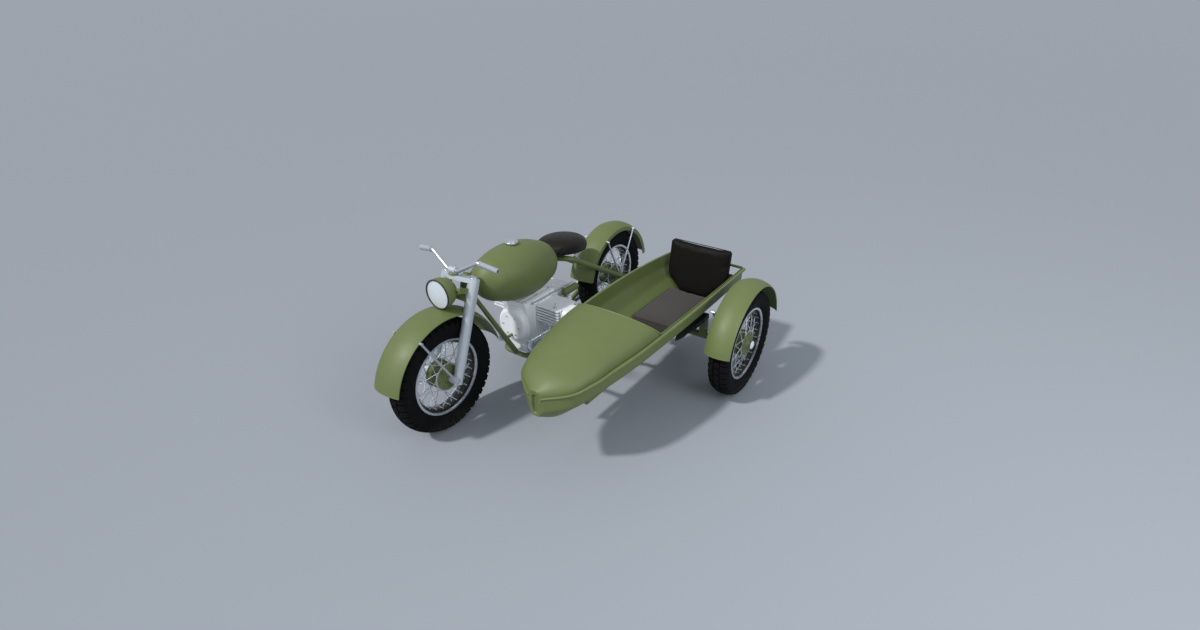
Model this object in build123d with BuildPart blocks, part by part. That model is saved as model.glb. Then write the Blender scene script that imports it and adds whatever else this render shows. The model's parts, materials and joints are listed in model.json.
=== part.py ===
"""Sidecar motorcycle: a flat-twin motorcycle with a boat-shaped sidecar on its left.

Millimetres. +X is forward, +Y the rider's left, where the sidecar is, and +Z up. The origin lies on the
ground under the middle of the whole outfit. Motorcycle places are given from the rear wheel's ground
contact and moved into the part's frame by at().
"""

import os
from math import cos, radians, sin

from build123d import *

os.makedirs("parts", exist_ok=True)

# ---------------------------------------------------------------- driving dimensions: layout
wheelbase = 1562.0
track = 1142.0          # sidecar wheel's plane, left of the motorcycle's
wheel_lead = 353.0      # sidecar axle ahead of the rear axle
rake = 19.7             # fork legs and steering axis, from upright, degrees

# fits and clearances
seat_gap = 0.3          # curved faces that seat on one another
pin_gap = 0.1           # an axle or a stem in its bore
boss_gap = 0.5          # between a hub's boss and what stands beside it

# wheels, all three alike
tyre_r = 315.0
tyre_w = 118.0
tyre_wall = 11.0
shoulder_drop = 12.0
shoulder_w = 96.0
flange_r = 212.0
rim_w = 87.0
rim_t = 3.0
bead_seat_r = 203.0
well_r = 189.0
well_w = 30.0
hub_r = 70.0
hub_w = 92.0
hub_boss_r = 24.0
hub_boss_w = 111.0
spoke_r = 1.9
spoke_count = 40
spoke_ring_w = 6.0
spoke_ring_h = 8.0
spoke_lean = 38.0       # a spoke's turn between hub and rim, degrees
axle_r = 10.0
collar_r = 17.0

# fork and steering
leg_spread = 188.0      # between the fork legs' axes
leg_top_r = 22.0
leg_low_r = 25.0
leg_top_x = 204.0       # fork leg's top, behind the front axle
leg_top_z = 813.0
leg_below = 22.0        # leg's end past the axle's height, along the leg
cover_len = 130.0       # slim upper length of a fork leg
cover_cone = 40.0
lug_r, lug_w = 20.0, 44.0    # axle lug at the foot of each leg
axle_over = 6.0         # axle's end past that lug
clamp_offset = 45.0     # steering axis behind the fork legs
clamp_t = 22.0
clamp_gap = 98.0        # from the top clamp's upper face to the bottom clamp's
clamp_wall = 8.0        # metal round each leg
lobe_r = 26.0           # clamp's front lobe
head_r = 27.0
stem_r = 15.0
stem_over = 14.0        # stem's nut above the top clamp
stem_nut = 7.0          # nut's rim round the stem
riser_r = 13.0          # post that carries the handlebar
sleeve_r, sleeve_w = 17.0, 40.0
bar_r = 11.0
bar_bore_r = 8.5
bar_bore_len = 70.0
bar_lead = 58.0         # handlebar's centre ahead of the fork legs
bar_rise = 25.0         # and above their tops
bar_flat = 36.0         # half of the bar's straight middle
bar_turn = 24.0         # bend radius
bar_bend = (158.0, 19.0, 69.0)   # bend from the centre: out, back, up
bar_end = (272.0, 38.0, 47.0)    # end from the centre: out, back, up
grip_r = 14.0
grip_len = 108.0

# headlamp
lamp_r = 79.0
lamp_depth = 106.0
lamp_x = 42.0           # lens's centre, behind the front axle
lamp_z = 765.5
lamp_wall = 3.0
lamp_pole = 8.0         # flat at the back of the bowl
bezel_w, bezel_front, bezel_back = 6.0, 4.0, 12.0
lens_t = 5.0
lens_bulge = 8.0
ear_level = 62.0        # lamp's ears, down the legs from their tops
ear_reach, ear_t, ear_h = 88.0, 6.0, 28.0
ear_wall = 5.0
pin_reach, pin_len, pin_r = 76.0, 42.0, 9.0

# mudguards: where each one's own centre lies from its axle, its crown and edge radii and its two ends
guard_t = 2.5
guard_drop = 22.0       # crown's fall from its middle to the upright sides
front_guard_w = 178.0
front_guard_drop = 19.0
front_crown_r, front_edge_r = 372.0, 349.0
front_guard_ends = (12.6, 166.0)
guard_boss_s = 177.0    # front mudguard's bosses, down the legs from their tops
guard_boss_r = 8.0
leg_notch = 1.0         # gap round each leg where it passes the front mudguard
rear_guard_w = 156.0
rear_guard_back = 8.0
rear_crown_r, rear_edge_r = 365.0, 318.0
rear_guard_ends = (50.0, 170.0)
panel_w = 172.0
panel_crown_r, panel_edge_r = 378.0, 330.0
panel_ends = (12.0, 56.0)
spacer_r, spacer_rise = 3.0, 7.0

# tank and saddle, both egg-shaped
tank_x, tank_z = 0.6082 * wheelbase, 690.0
tank_len, tank_w = 0.402 * wheelbase, 328.0
tank_tilt = 5.5
pole_r = 8.0            # flat at each of its ends
cap_r, cap_h, cap_round = 36.0, 11.0, 4.0
cap_x = 20.0            # filler's centre, ahead of the tank's
cap_lip = 6.0           # cap's rim past the neck
neck_wall = 4.0
neck_sunk, neck_h = 10.0, 15.0
neck_bore = 60.0
plug_h = 8.0
saddle_x, saddle_z = 0.34 * wheelbase, 717.0
saddle_len, saddle_w, saddle_h = 0.2663 * wheelbase, 260.0, 122.0
saddle_under = 0.3      # saddle's flat base below its middle, as a share of its height
saddle_tilt = 8.0
saddle_tank_gap = 3.0

# engine
engine_x, engine_z = 0.541 * wheelbase, 340.0
engine_len, engine_w, engine_h = 0.1729 * wheelbase, 170.0, 320.0
engine_round = 30.0
gearbox_len, gearbox_w, gearbox_h = 0.0948 * wheelbase, 160.0, 250.0
gearbox_top = 475.0
gearbox_round = 26.0
air_len, air_r, air_round = 130.0, 22.0, 8.0
air_y, air_z = 136.0, 478.0
air_lead = -5.0         # air cleaner's middle, ahead of the gearbox's
air_neck_r = 9.0
carb_y, carb_rise = 150.0, 10.0
carb_len, carb_r = 66.0, 21.0
chamber_r, chamber_back = 17.0, 40.0
chamber_low, chamber_high = 40.0, 20.0    # float chamber below and above the inlet's middle
cover_depth, cover_r, cover_rise, cover_round = 40.0, 105.0, 20.0, 24.0
cylinder_x, cylinder_z = 0.5198 * wheelbase, 420.0
fin_len, fin_w, fin_t, fin_pitch, fin_count = 170.0, 160.0, 7.0, 18.0, 6
barrel_r, barrel_base = 44.0, 6.0         # barrel's length between the engine and its fins
rocker_len, rocker_h, rocker_t, rocker_round = 130.0, 96.0, 46.0, 30.0

# exhausts, both sides alike: from the port down to the front elbow, then out and back under the footrests
exhaust_r = 21.0
exhaust_bend = 30.0
port_lead, port_y, port_drop = 64.0, 170.0, 55.0
elbow_x, elbow_y, elbow_z = 0.6626 * wheelbase, 93.0, 260.0
turn_x, turn_z = 0.595 * wheelbase, 175.0
low_x, low_z = 0.55 * wheelbase, 146.0
exhaust_y = 168.0
tail_x, tail_z = 330.0, 152.0
silencer_r = 38.0
silencer_end = (-230.0, 176.0)

# shaft drive, on the right
drive_y, drive_t, drive_r = 61.0, 15.0, 68.0
shaft_y, shaft_r, shaft_foot = 80.0, 10.0, 40.0
shaft_rise = (2.0, 6.0)      # its ends above the axle's height

# frame tubes
tube_r = 14.5
backbone_r = 17.5
downtube_r = (17.5, 11.0)    # at its foot and at the head
frame_front_x = 0.637 * wheelbase
cradle_y = 105.0
cradle_z = 165.0
cradle_bend_x = 0.269 * wheelbase
cradle_turn = 55.0
cross_tube_xs = (0.282 * wheelbase, 0.586 * wheelbase)
cross_tube_r = 12.5
bracket_z, bracket_r = 300.0, 9.0         # engine's bracket on the downtube
seat_lug_x, seat_lug_z = 0.388 * wheelbase, 640.0
seat_stay_r = 17.0
seat_stay_y = 112.0
seat_bend_x, seat_bend_z = 0.3732 * wheelbase, 655.0
seat_turn = 50.0
rear_lug_y, rear_lug_w, rear_lug_r = 96.0, 34.0, 26.0
axle_nut = 12.0         # axle's end past the lugs
saddle_post_r, saddle_post_back = 10.0, 14.0
stay_r = 6.5
stay_foot_r = 7.0
stay_over = 1.5         # foot's end past its stay
stay_eye_r = 18.0
front_stay_angle = 60.0
rear_stay_angles = (62.0, 116.0)
rear_stay_reach = 20.0  # stays' feet above the mudguard's edge
sidecar_stay_angles = (48.0, 132.0)
footrest_x = 600.0
footrest_rise = 70.0
post_r = 8.0
peg_r = 10.0
peg_len = 116.0
peg_collar_w, peg_collar_wall = 12.0, 4.0
spring_x = 0.301 * wheelbase              # saddle springs
spring_y = 62.0
spring_r = 15.0
spring_tube_r = 11.5

# sidecar body: stations along it, each with the half-width and height of the gunwale, the knee where the
# upright band ends and the sloping bottom begins to narrow, and the flat floor; the cowl's crest is over it
tub_y = 700.0           # its middle plane, left of the motorcycle's
tub_wall = 4.0
band_h = 85.0           # upright band under the gunwale
cowl_wall = 3.0
bead_r = 10.0
bead_over, bead_drop, bead_turn = 9.0, 12.0, 60.0    # bead's centre outside and below the gunwale's edge
tail_cut_z = 500.0      # the tail panel's upper edge, under the cross tube
tail_tube_r, tail_tube_x, tail_tube_z = 9.0, -73.0, 564.0
stations = [
    # x from the rear axle, gunwale half, gunwale z, knee half, knee z, floor half, floor z, crest z
    (-85, 238, 566, 152, 397, 90, 325, 0),
    (100, 250, 577, 160, 395, 95, 325, 0),
    (950, 250, 582, 160, 395, 95, 325, 692),
    (1150, 236, 573, 150, 392, 88, 326, 684),
    (1300, 212, 561, 132, 390, 76, 332, 662),
    (1450, 185, 545, 108, 388, 60, 342, 624),
    (1560, 131, 527, 74, 390, 40, 358, 580),
    (1632, 33, 511, 24, 408, 16, 396, 532),
]
cowl_back = 950.0       # cowl's rear edge at the gunwale; it leans forward from there
cowl_lean = 46.0        # from upright, degrees
board_x = (40.0, 620.0)
board_z = (338.0, 348.0)
cushion_x = (125.0, 595.0)
cushion_top = 420.0
cushion_w = 300.0
back_x = 96.0           # front face of the seat back, at its foot
back_lean = 7.0
back_t = 52.0
back_top = 700.0
back_half = 195.0
back_foot_half = 66.0
back_taper = 108.0       # height over which its lower corners taper in

# sidecar frame, axle and springs
chassis_y = (550.0, 730.0)   # side tubes
chassis_x = (10.0, 1290.0)
chassis_z = 282.0
chassis_r = 17.0
cross_in = 20.0
cross_r = 16.0
foot_places = (-50.0, -5.0)   # tub's front feet, from its middle plane
foot_r, foot_h = 14.0, 40.0
beam_r, beam_over = 19.0, 80.0
beam_end = 1020.0
knuckle_r, knuckle_w, knuckle_drop = 40.0, 40.0, 6.0
stub_len = 60.0         # stub axle's length inside the beam
stub_bore = 300.0
strut_r = 14.0
strut_turn = 24.0
leaf_y = 208.0          # leaf springs, either side of the tub's middle plane
leaf_w = 42.0
leaf_t = 9.0
leaf_top = 420.0
leaf_tip = 705.0
leaf_step = 90.0        # each leaf is this much shorter than the one over it
leaf_count = 3
leaf_back = 20.0        # spring's rear end, behind the axle beam
shoe_len, shoe_h, shoe_spread = 34.0, 30.0, 1.5
sidecar_guard_w = 150.0
sidecar_guard_back = 12.0
sidecar_crown_r, sidecar_edge_r = 364.0, 338.0
sidecar_guard_ends = (10.0, 168.0)
cap_t, cap_edge = 10.0, 8.0      # sidecar's hub cap and its rounding

# struts between the two frames: x and z of the motorcycle's lug and x of the chassis lug
strut_rows = [
    (frame_front_x - 10, cradle_z, 1060),
    (0.448 * wheelbase, cradle_z + 25, 680),
    (0.2945 * wheelbase, cradle_z + 23, 300),
]
lug_boss_r = 17.0
lug_in, lug_out = 18.0, 22.0     # motorcycle's lug, from inside its rail to outside
chassis_lug = 34.0
strut_straight = 22.0

# ---------------------------------------------------------------- places worked out from them
spring_tube_z = tyre_r + (seat_bend_z - tyre_r) * spring_x / seat_bend_x
front_reach = front_crown_r * cos(radians(front_guard_ends[0]))
tail_reach = rear_crown_r * cos(radians(180 - rear_guard_ends[1])) + rear_guard_back
right_reach = engine_w / 2 + fin_w + barrel_base + rocker_t
left_reach = sidecar_guard_w / 2
rear_x = (tail_reach - front_reach - wheelbase) / 2
bike_y = (right_reach - left_reach - track) / 2


def at(x, y, z):
    """A place given from the rear wheel's ground contact, in the part's frame."""
    return Vector(rear_x + x, bike_y + y, z)


down = Vector(sin(radians(rake)), 0, -cos(radians(rake)))      # along the fork legs
ahead = Vector(cos(radians(rake)), 0, sin(radians(rake)))      # square to them, forward
front_axle = at(wheelbase, 0, tyre_r)
rear_axle = at(0, 0, tyre_r)
sidecar_axle = at(wheel_lead, track, tyre_r)
leg_top = at(wheelbase - leg_top_x, 0, leg_top_z)
leg_len = (front_axle - leg_top).dot(down) + leg_below
steering_top = leg_top - ahead * clamp_offset
saddle_centre = at(saddle_x, 0, saddle_z)
saddle_up = Vector(-sin(radians(saddle_tilt)), 0, cos(radians(saddle_tilt)))
saddle_base = saddle_centre - saddle_up * saddle_h * saddle_under


def save(piece, name):
    """Label a finished piece and write it as its own file."""
    piece.label = name
    export_step(piece, f"parts/{name}.step")


def wheel_plane(centre, angle=90.0):
    """A plane through a wheel's axis: local X along the axle, local Y outward at this angle from +X."""
    out = Vector(cos(radians(angle)), 0, sin(radians(angle)))
    return Plane(origin=centre, x_dir=(0, 1, 0), z_dir=Vector(0, 1, 0).cross(out))


def rod(start, end, radius):
    """Add a straight round bar between two points to the part being built."""
    with BuildSketch(Plane(origin=start, z_dir=(end - start).normalized())) as section:
        Circle(radius)
    extrude(section.sketch, amount=(end - start).length)


def bent_tube(points, radius, bend):
    """Add a round tube along straight runs joined by arcs of one bend radius."""
    with BuildLine() as path:
        FilletPolyline(*points, radius=bend)
    with BuildSketch(Plane(origin=path.line @ 0, z_dir=path.line % 0)) as section:
        Circle(radius)
    sweep(section.sketch, path=path.line)


def cross_bore(centre, radius, length):
    """Cut a bore along Y through the part being built."""
    with BuildSketch(Plane(origin=centre, z_dir=(0, 1, 0))) as section:
        Circle(radius)
    extrude(section.sketch, amount=length / 2, both=True, mode=Mode.SUBTRACT)


# ---------------------------------------------------------------- wheels
origin = Vector(0, 0, 0)
ring_y = hub_w / 2 - spoke_ring_w
bead_y = rim_w / 2 - rim_t - seat_gap

with BuildPart() as tyre:
    with BuildSketch(wheel_plane(origin)):
        with BuildLine():
            side_r = (tyre_r + flange_r) / 2
            crown = ThreePointArc(
                (0, tyre_r),
                (shoulder_w / 4, tyre_r - shoulder_drop / 4),
                (shoulder_w / 2, tyre_r - shoulder_drop),
            )
            outer = ThreePointArc(crown @ 1, (tyre_w / 2, side_r), (bead_y, flange_r + seat_gap))
            bead = Polyline(
                outer @ 1, (bead_y, bead_seat_r + seat_gap), (bead_y - tyre_wall, bead_seat_r + seat_gap)
            )
            inner = ThreePointArc(
                bead @ 1,
                (tyre_w / 2 - tyre_wall, side_r),
                (shoulder_w / 2 - tyre_wall, tyre_r - shoulder_drop - tyre_wall),
            )
            Polyline(inner @ 1, (0, tyre_r - 2 * tyre_wall), (0, tyre_r))
        make_face()
        mirror(about=Plane.YZ)
    revolve(axis=Axis.Y)

with BuildPart() as rim:
    with BuildSketch(wheel_plane(origin)):
        with BuildLine():
            Polyline(
                (0, well_r),
                (well_w / 2, well_r),
                (well_w / 2 + rim_t, bead_seat_r),
                (rim_w / 2 - rim_t, bead_seat_r),
                (rim_w / 2 - rim_t, flange_r),
                (rim_w / 2, flange_r),
                (rim_w / 2, bead_seat_r - rim_t),
                (well_w / 2 + 2 * rim_t, bead_seat_r - rim_t),
                (well_w / 2 + rim_t, well_r - rim_t),
                (0, well_r - rim_t),
                (0, well_r),
            )
        make_face()
        mirror(about=Plane.YZ)
    revolve(axis=Axis.Y)
    ring_r = hub_r + seat_gap
    for side in (-1, 1):
        ring_place = Plane(origin=(0, side * ring_y, 0), z_dir=(0, 1, 0))
        with BuildSketch(ring_place):
            Circle(ring_r + spoke_ring_h)
            Circle(ring_r, mode=Mode.SUBTRACT)
        extrude(amount=spoke_ring_w / 2, both=True)
    for number in range(spoke_count):
        side = 1 if number % 2 else -1
        lean = spoke_lean if number % 4 < 2 else -spoke_lean
        rim_angle = radians(number * 360 / spoke_count)
        hub_angle = rim_angle + radians(lean)
        hub_end = Vector(cos(hub_angle), 0, sin(hub_angle)) * (ring_r + spoke_ring_h / 2)
        hub_end += Vector(0, side * ring_y, 0)
        rim_end = Vector(cos(rim_angle), 0, sin(rim_angle)) * (well_r - rim_t / 2)
        rim_end += Vector(0, side * well_w / 4, 0)
        with BuildSketch(Plane(origin=hub_end, z_dir=(rim_end - hub_end).normalized())):
            Circle(spoke_r)
    extrude(amount=(rim_end - hub_end).length)

with BuildPart() as hub:
    with BuildSketch(wheel_plane(origin)):
        with BuildLine():
            Polyline(
                (0, axle_r + pin_gap),
                (hub_boss_w / 2, axle_r + pin_gap),
                (hub_boss_w / 2, hub_boss_r),
                (hub_w / 2, hub_boss_r + 8),
                (hub_w / 2, hub_r),
                (0, hub_r),
                (0, axle_r + pin_gap),
            )
        make_face()
        mirror(about=Plane.YZ)
    revolve(axis=Axis.Y)

for wheel_name, centre in (("front", front_axle), ("rear", rear_axle), ("sidecar", sidecar_axle)):
    for piece_name, piece in (("tyre", tyre), ("rim", rim), ("hub", hub)):
        with BuildPart() as placed:
            with Locations(centre):
                add(piece.part)
        save(placed.part, f"{wheel_name}_{piece_name}")

# ---------------------------------------------------------------- axles
leg_inner = leg_spread / 2 - leg_low_r
boss_end = hub_boss_w / 2 + boss_gap

with BuildPart() as front_axle_piece:
    axle_half = Vector(0, leg_inner + lug_w + axle_over, 0)
    rod(front_axle - axle_half, front_axle + axle_half, axle_r)
    for side in (-1, 1):
        inner_end = front_axle + Vector(0, side * boss_end, 0)
        rod(inner_end, front_axle + Vector(0, side * (leg_inner - seat_gap), 0), collar_r)
save(front_axle_piece.part, "front_axle")

stay_eye_y = rear_guard_w / 2 + guard_t
stay_eye_w = 2 * (stay_r + seat_gap)
with BuildPart() as rear_axle_piece:
    axle_half = Vector(0, rear_lug_y + rear_lug_w + axle_nut, 0)
    rod(rear_axle - axle_half, rear_axle + axle_half, axle_r)
    for side in (-1, 1):
        inner_end = rear_axle + Vector(0, side * boss_end, 0)
        rod(inner_end, rear_axle + Vector(0, side * (stay_eye_y - seat_gap), 0), collar_r)
        outer_end = rear_axle + Vector(0, side * (rear_lug_y + rear_lug_w + seat_gap), 0)
        rod(outer_end, outer_end + Vector(0, side * (axle_nut - 2), 0), collar_r)
save(rear_axle_piece.part, "rear_axle")

# ---------------------------------------------------------------- fork legs
boss_inner = leg_spread / 2 - leg_low_r + 2 * seat_gap
with BuildPart() as fork_legs:
    for side in (-1, 1):
        top = leg_top + Vector(0, side * leg_spread / 2, 0)
        with BuildSketch(Plane(origin=top, x_dir=ahead, z_dir=ahead.cross(down))):
            with BuildLine():
                Polyline(
                    (0, 0),
                    (leg_top_r, 0),
                    (leg_top_r, cover_len),
                    (leg_low_r, cover_len + cover_cone),
                    (leg_low_r, leg_len),
                    (0, leg_len),
                    (0, 0),
                )
            make_face()
        revolve(axis=Axis(top, down))
        lug_start = front_axle + Vector(0, side * leg_inner, 0)
        rod(lug_start, lug_start + Vector(0, side * lug_w, 0), lug_r)
        boss = leg_top + down * guard_boss_s
        boss_end_in = boss + Vector(0, side * boss_inner, 0)
        rod(boss_end_in, boss + Vector(0, side * leg_spread / 2, 0), guard_boss_r)
    cross_bore(front_axle, axle_r + pin_gap, leg_spread + 2 * lug_w)
save(fork_legs.part, "fork_legs")


def clamp_plate(level, front_lobe):
    """Add one fork clamp: a plate round the stem and both legs, square to them, below this level."""
    with BuildSketch(Plane(origin=leg_top + down * level, x_dir=ahead, z_dir=down)) as outline:
        with Locations((0, leg_spread / 2), (0, -leg_spread / 2)):
            Circle(leg_top_r + clamp_wall)
        with Locations((-clamp_offset, 0)):
            Circle(head_r)
        with Locations((front_lobe, 0)):
            Circle(lobe_r)
        make_hull()
        with Locations((0, leg_spread / 2), (0, -leg_spread / 2)):
            Circle(leg_top_r + seat_gap, mode=Mode.SUBTRACT)
    extrude(outline.sketch, amount=clamp_t)


# ---------------------------------------------------------------- clamps and handlebar
bar_centre = leg_top + ahead * bar_lead - down * bar_rise
with BuildPart() as top_clamp:
    clamp_plate(0, bar_lead - riser_r)
    rod(leg_top + ahead * bar_lead + down * clamp_t / 2, bar_centre, riser_r)
    rod(bar_centre - Vector(0, sleeve_w / 2, 0), bar_centre + Vector(0, sleeve_w / 2, 0), sleeve_r)
    cross_bore(bar_centre, bar_r + seat_gap, 2 * sleeve_w)
    with BuildSketch(Plane(origin=steering_top, z_dir=down)):
        Circle(stem_r + seat_gap)
    extrude(amount=clamp_t, mode=Mode.SUBTRACT)
save(top_clamp.part, "top_clamp")

with BuildPart() as bottom_clamp:
    clamp_plate(clamp_gap, 0)
    rod(steering_top - down * stem_over, steering_top + down * (clamp_gap + clamp_t), stem_r)
    rod(steering_top - down * stem_over, steering_top - down * seat_gap, stem_r + stem_nut)
save(bottom_clamp.part, "bottom_clamp")


def bar_point(out, back, up, side):
    """A handlebar point from its middle, on one side."""
    return bar_centre + Vector(-back, side * out, up)


half_bar = [(bar_flat, 0.0, 0.0), bar_bend, bar_end]
left_points = [bar_point(*place, 1) for place in half_bar]
right_points = [bar_point(*place, -1) for place in reversed(half_bar)]
with BuildPart() as handlebar:
    bent_tube(right_points + left_points, bar_r, bar_turn)
    for side in (-1, 1):
        tip = bar_point(*bar_end, side)
        inward = (bar_point(*bar_bend, side) - tip).normalized()
        with BuildSketch(Plane(origin=tip, z_dir=inward)):
            Circle(bar_bore_r)
        extrude(amount=bar_bore_len, mode=Mode.SUBTRACT)
save(handlebar.part, "handlebar")

with BuildPart() as grips:
    for side in (-1, 1):
        tip = bar_point(*bar_end, side)
        inward = (bar_point(*bar_bend, side) - tip).normalized()
        with BuildSketch(Plane(origin=tip - inward, z_dir=inward)):
            Circle(grip_r)
            Circle(bar_r + seat_gap, mode=Mode.SUBTRACT)
        extrude(amount=grip_len)
save(grips.part, "grips")

# ---------------------------------------------------------------- headlamp
lens_centre = at(wheelbase - lamp_x, 0, lamp_z)
lamp_axis = Axis(lens_centre, (1, 0, 0))
lamp_plane = Plane(origin=lens_centre, x_dir=(0, 0, 1), z_dir=(0, 1, 0))
mouth_r = lamp_r - bezel_w
bowl_turn = (0.7 * lamp_r, -0.72 * lamp_depth)       # where the bowl turns in to its back

with BuildPart() as headlamp_shell:
    with BuildSketch(lamp_plane):
        with BuildLine():
            bowl = ThreePointArc((lamp_pole, -lamp_depth), bowl_turn, (lamp_r, -bezel_back))
            Polyline(bowl @ 1, (lamp_r, bezel_front), (mouth_r, bezel_front), (mouth_r, -bezel_back))
            inside = ThreePointArc(
                (mouth_r, -bezel_back),
                (bowl_turn[0] - 2 * lamp_wall, bowl_turn[1] + 2 * lamp_wall),
                (lamp_pole, -lamp_depth + lamp_wall),
            )
            Polyline(inside @ 1, (0, -lamp_depth + lamp_wall), (0, -lamp_depth), bowl @ 0)
        make_face()
    revolve(axis=lamp_axis)
    for side in (-1, 1):
        leg_point = leg_top + down * ear_level + Vector(0, side * leg_spread / 2, 0)
        with BuildSketch(Plane(origin=leg_point - down * ear_h / 2, x_dir=ahead, z_dir=down)):
            with Locations((ear_reach / 2, side * ear_t / 2)):
                Rectangle(ear_reach, ear_t)
            Circle(leg_top_r + ear_wall)
            Circle(leg_top_r + seat_gap, mode=Mode.SUBTRACT)
        extrude(amount=ear_h)
        pin_place = leg_point + ahead * pin_reach
        rod(pin_place, pin_place - Vector(0, side * pin_len, 0), pin_r)
save(headlamp_shell.part, "headlamp_shell")

with BuildPart() as headlamp_lens:
    with BuildSketch(lamp_plane):
        lens_r = mouth_r - seat_gap
        rim_s = bezel_front / 2
        half_bulge = rim_s + (lens_bulge - rim_s) * 0.78
        with BuildLine():
            face = ThreePointArc((lamp_pole, lens_bulge), (lens_r / 2, half_bulge), (lens_r, rim_s))
            Polyline(face @ 1, (lens_r, rim_s - lens_t))
            back = ThreePointArc(
                (lens_r, rim_s - lens_t), (lens_r / 2, half_bulge - lens_t), (lamp_pole, lens_bulge - lens_t)
            )
            Polyline(back @ 1, (0, lens_bulge - lens_t), (0, lens_bulge), face @ 0)
        make_face()
    revolve(axis=lamp_axis)
save(headlamp_lens.part, "headlamp_lens")


# ---------------------------------------------------------------- mudguards
def guard(centre, width, crown_r, edge_r, first, last, drop=guard_drop):
    """Add a mudguard: an arch section with upright sides, turned from first to last degrees."""
    half = width / 2
    under_r = crown_r - drop - 1
    with BuildSketch(wheel_plane(centre, first)) as section:
        with BuildLine():
            top = ThreePointArc((half, crown_r - drop), (0, crown_r), (-half, crown_r - drop))
            Polyline(
                top @ 1,
                (-half, edge_r),
                (-half + guard_t, edge_r),
                (-half + guard_t, under_r),
            )
            under = ThreePointArc(
                (-half + guard_t, under_r), (0, crown_r - guard_t), (half - guard_t, under_r)
            )
            Polyline(under @ 1, (half - guard_t, edge_r), (half, edge_r), top @ 0)
        make_face()
    revolve(section.sketch, axis=Axis(centre, (0, -1, 0)), revolution_arc=last - first)


with BuildPart() as front_mudguard:
    guard(front_axle, front_guard_w, front_crown_r, front_edge_r, *front_guard_ends, drop=front_guard_drop)
    # notch round each fork leg
    for side in (-1, 1):
        top = leg_top + Vector(0, side * leg_spread / 2, 0)
        with BuildSketch(Plane(origin=top, z_dir=down)) as notch:
            Circle(leg_low_r + leg_notch)
        extrude(notch.sketch, amount=leg_len, mode=Mode.SUBTRACT)
save(front_mudguard.part, "front_mudguard")

# angle between a front stay and the fork legs
stay_spread = radians(90 + rake - front_stay_angle)
stay_start = (leg_low_r + seat_gap + stay_r * cos(stay_spread)) / sin(stay_spread)
with BuildPart() as front_stays:
    for side in (-1, 1):
        plane_y = front_guard_w / 2 + seat_gap + stay_r + stay_over
        way = Vector(cos(radians(front_stay_angle)), 0, sin(radians(front_stay_angle)))
        low = front_axle + way * stay_start + Vector(0, side * plane_y, 0)
        high = front_axle + way * (front_edge_r + stay_over) + Vector(0, side * plane_y, 0)
        rod(low, high, stay_r)
        reach = Vector(0, side * (stay_r + stay_over), 0)
        rod(high + reach, high - reach, stay_foot_r)
save(front_stays.part, "front_stays")

rear_guard_centre = rear_axle - Vector(rear_guard_back, 0, 0)
with BuildPart() as rear_mudguard:
    guard(rear_guard_centre, rear_guard_w, rear_crown_r, rear_edge_r, *rear_guard_ends)
save(rear_mudguard.part, "rear_mudguard")

with BuildPart() as rear_mudguard_panel:
    guard(rear_guard_centre, panel_w, panel_crown_r, panel_edge_r, *panel_ends)
    # spacers that stand on the mudguard's sides
    lap_angle = radians((rear_guard_ends[0] + panel_ends[1]) / 2)
    spacer = rear_guard_centre + Vector(cos(lap_angle), 0, sin(lap_angle)) * (panel_edge_r + spacer_rise)
    for side in (-1, 1):
        spacer_foot = spacer + Vector(0, side * (rear_guard_w / 2 + seat_gap), 0)
        rod(spacer_foot, spacer + Vector(0, side * (panel_w / 2 - 1), 0), spacer_r)
save(rear_mudguard_panel.part, "rear_mudguard_panel")

with BuildPart() as rear_stays:
    for side in (-1, 1):
        eye = rear_axle + Vector(0, side * stay_eye_y, 0)
        rod(eye, eye + Vector(0, side * stay_eye_w, 0), stay_eye_r)
        middle_y = stay_eye_y + stay_eye_w / 2
        for angle in rear_stay_angles:
            way = Vector(cos(radians(angle)), 0, sin(radians(angle)))
            high = rear_guard_centre + way * (rear_edge_r + rear_stay_reach)
            stay_plane = Vector(0, side * middle_y, 0)
            rod(rear_axle + stay_plane, high + stay_plane, stay_r)
            foot = high + Vector(0, side * (rear_guard_w / 2 + seat_gap), 0)
            rod(foot, high + Vector(0, side * (middle_y + stay_r + stay_over), 0), stay_foot_r)
    cross_bore(rear_axle, axle_r + pin_gap, 3 * rear_guard_w)
save(rear_stays.part, "rear_stays")

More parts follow.
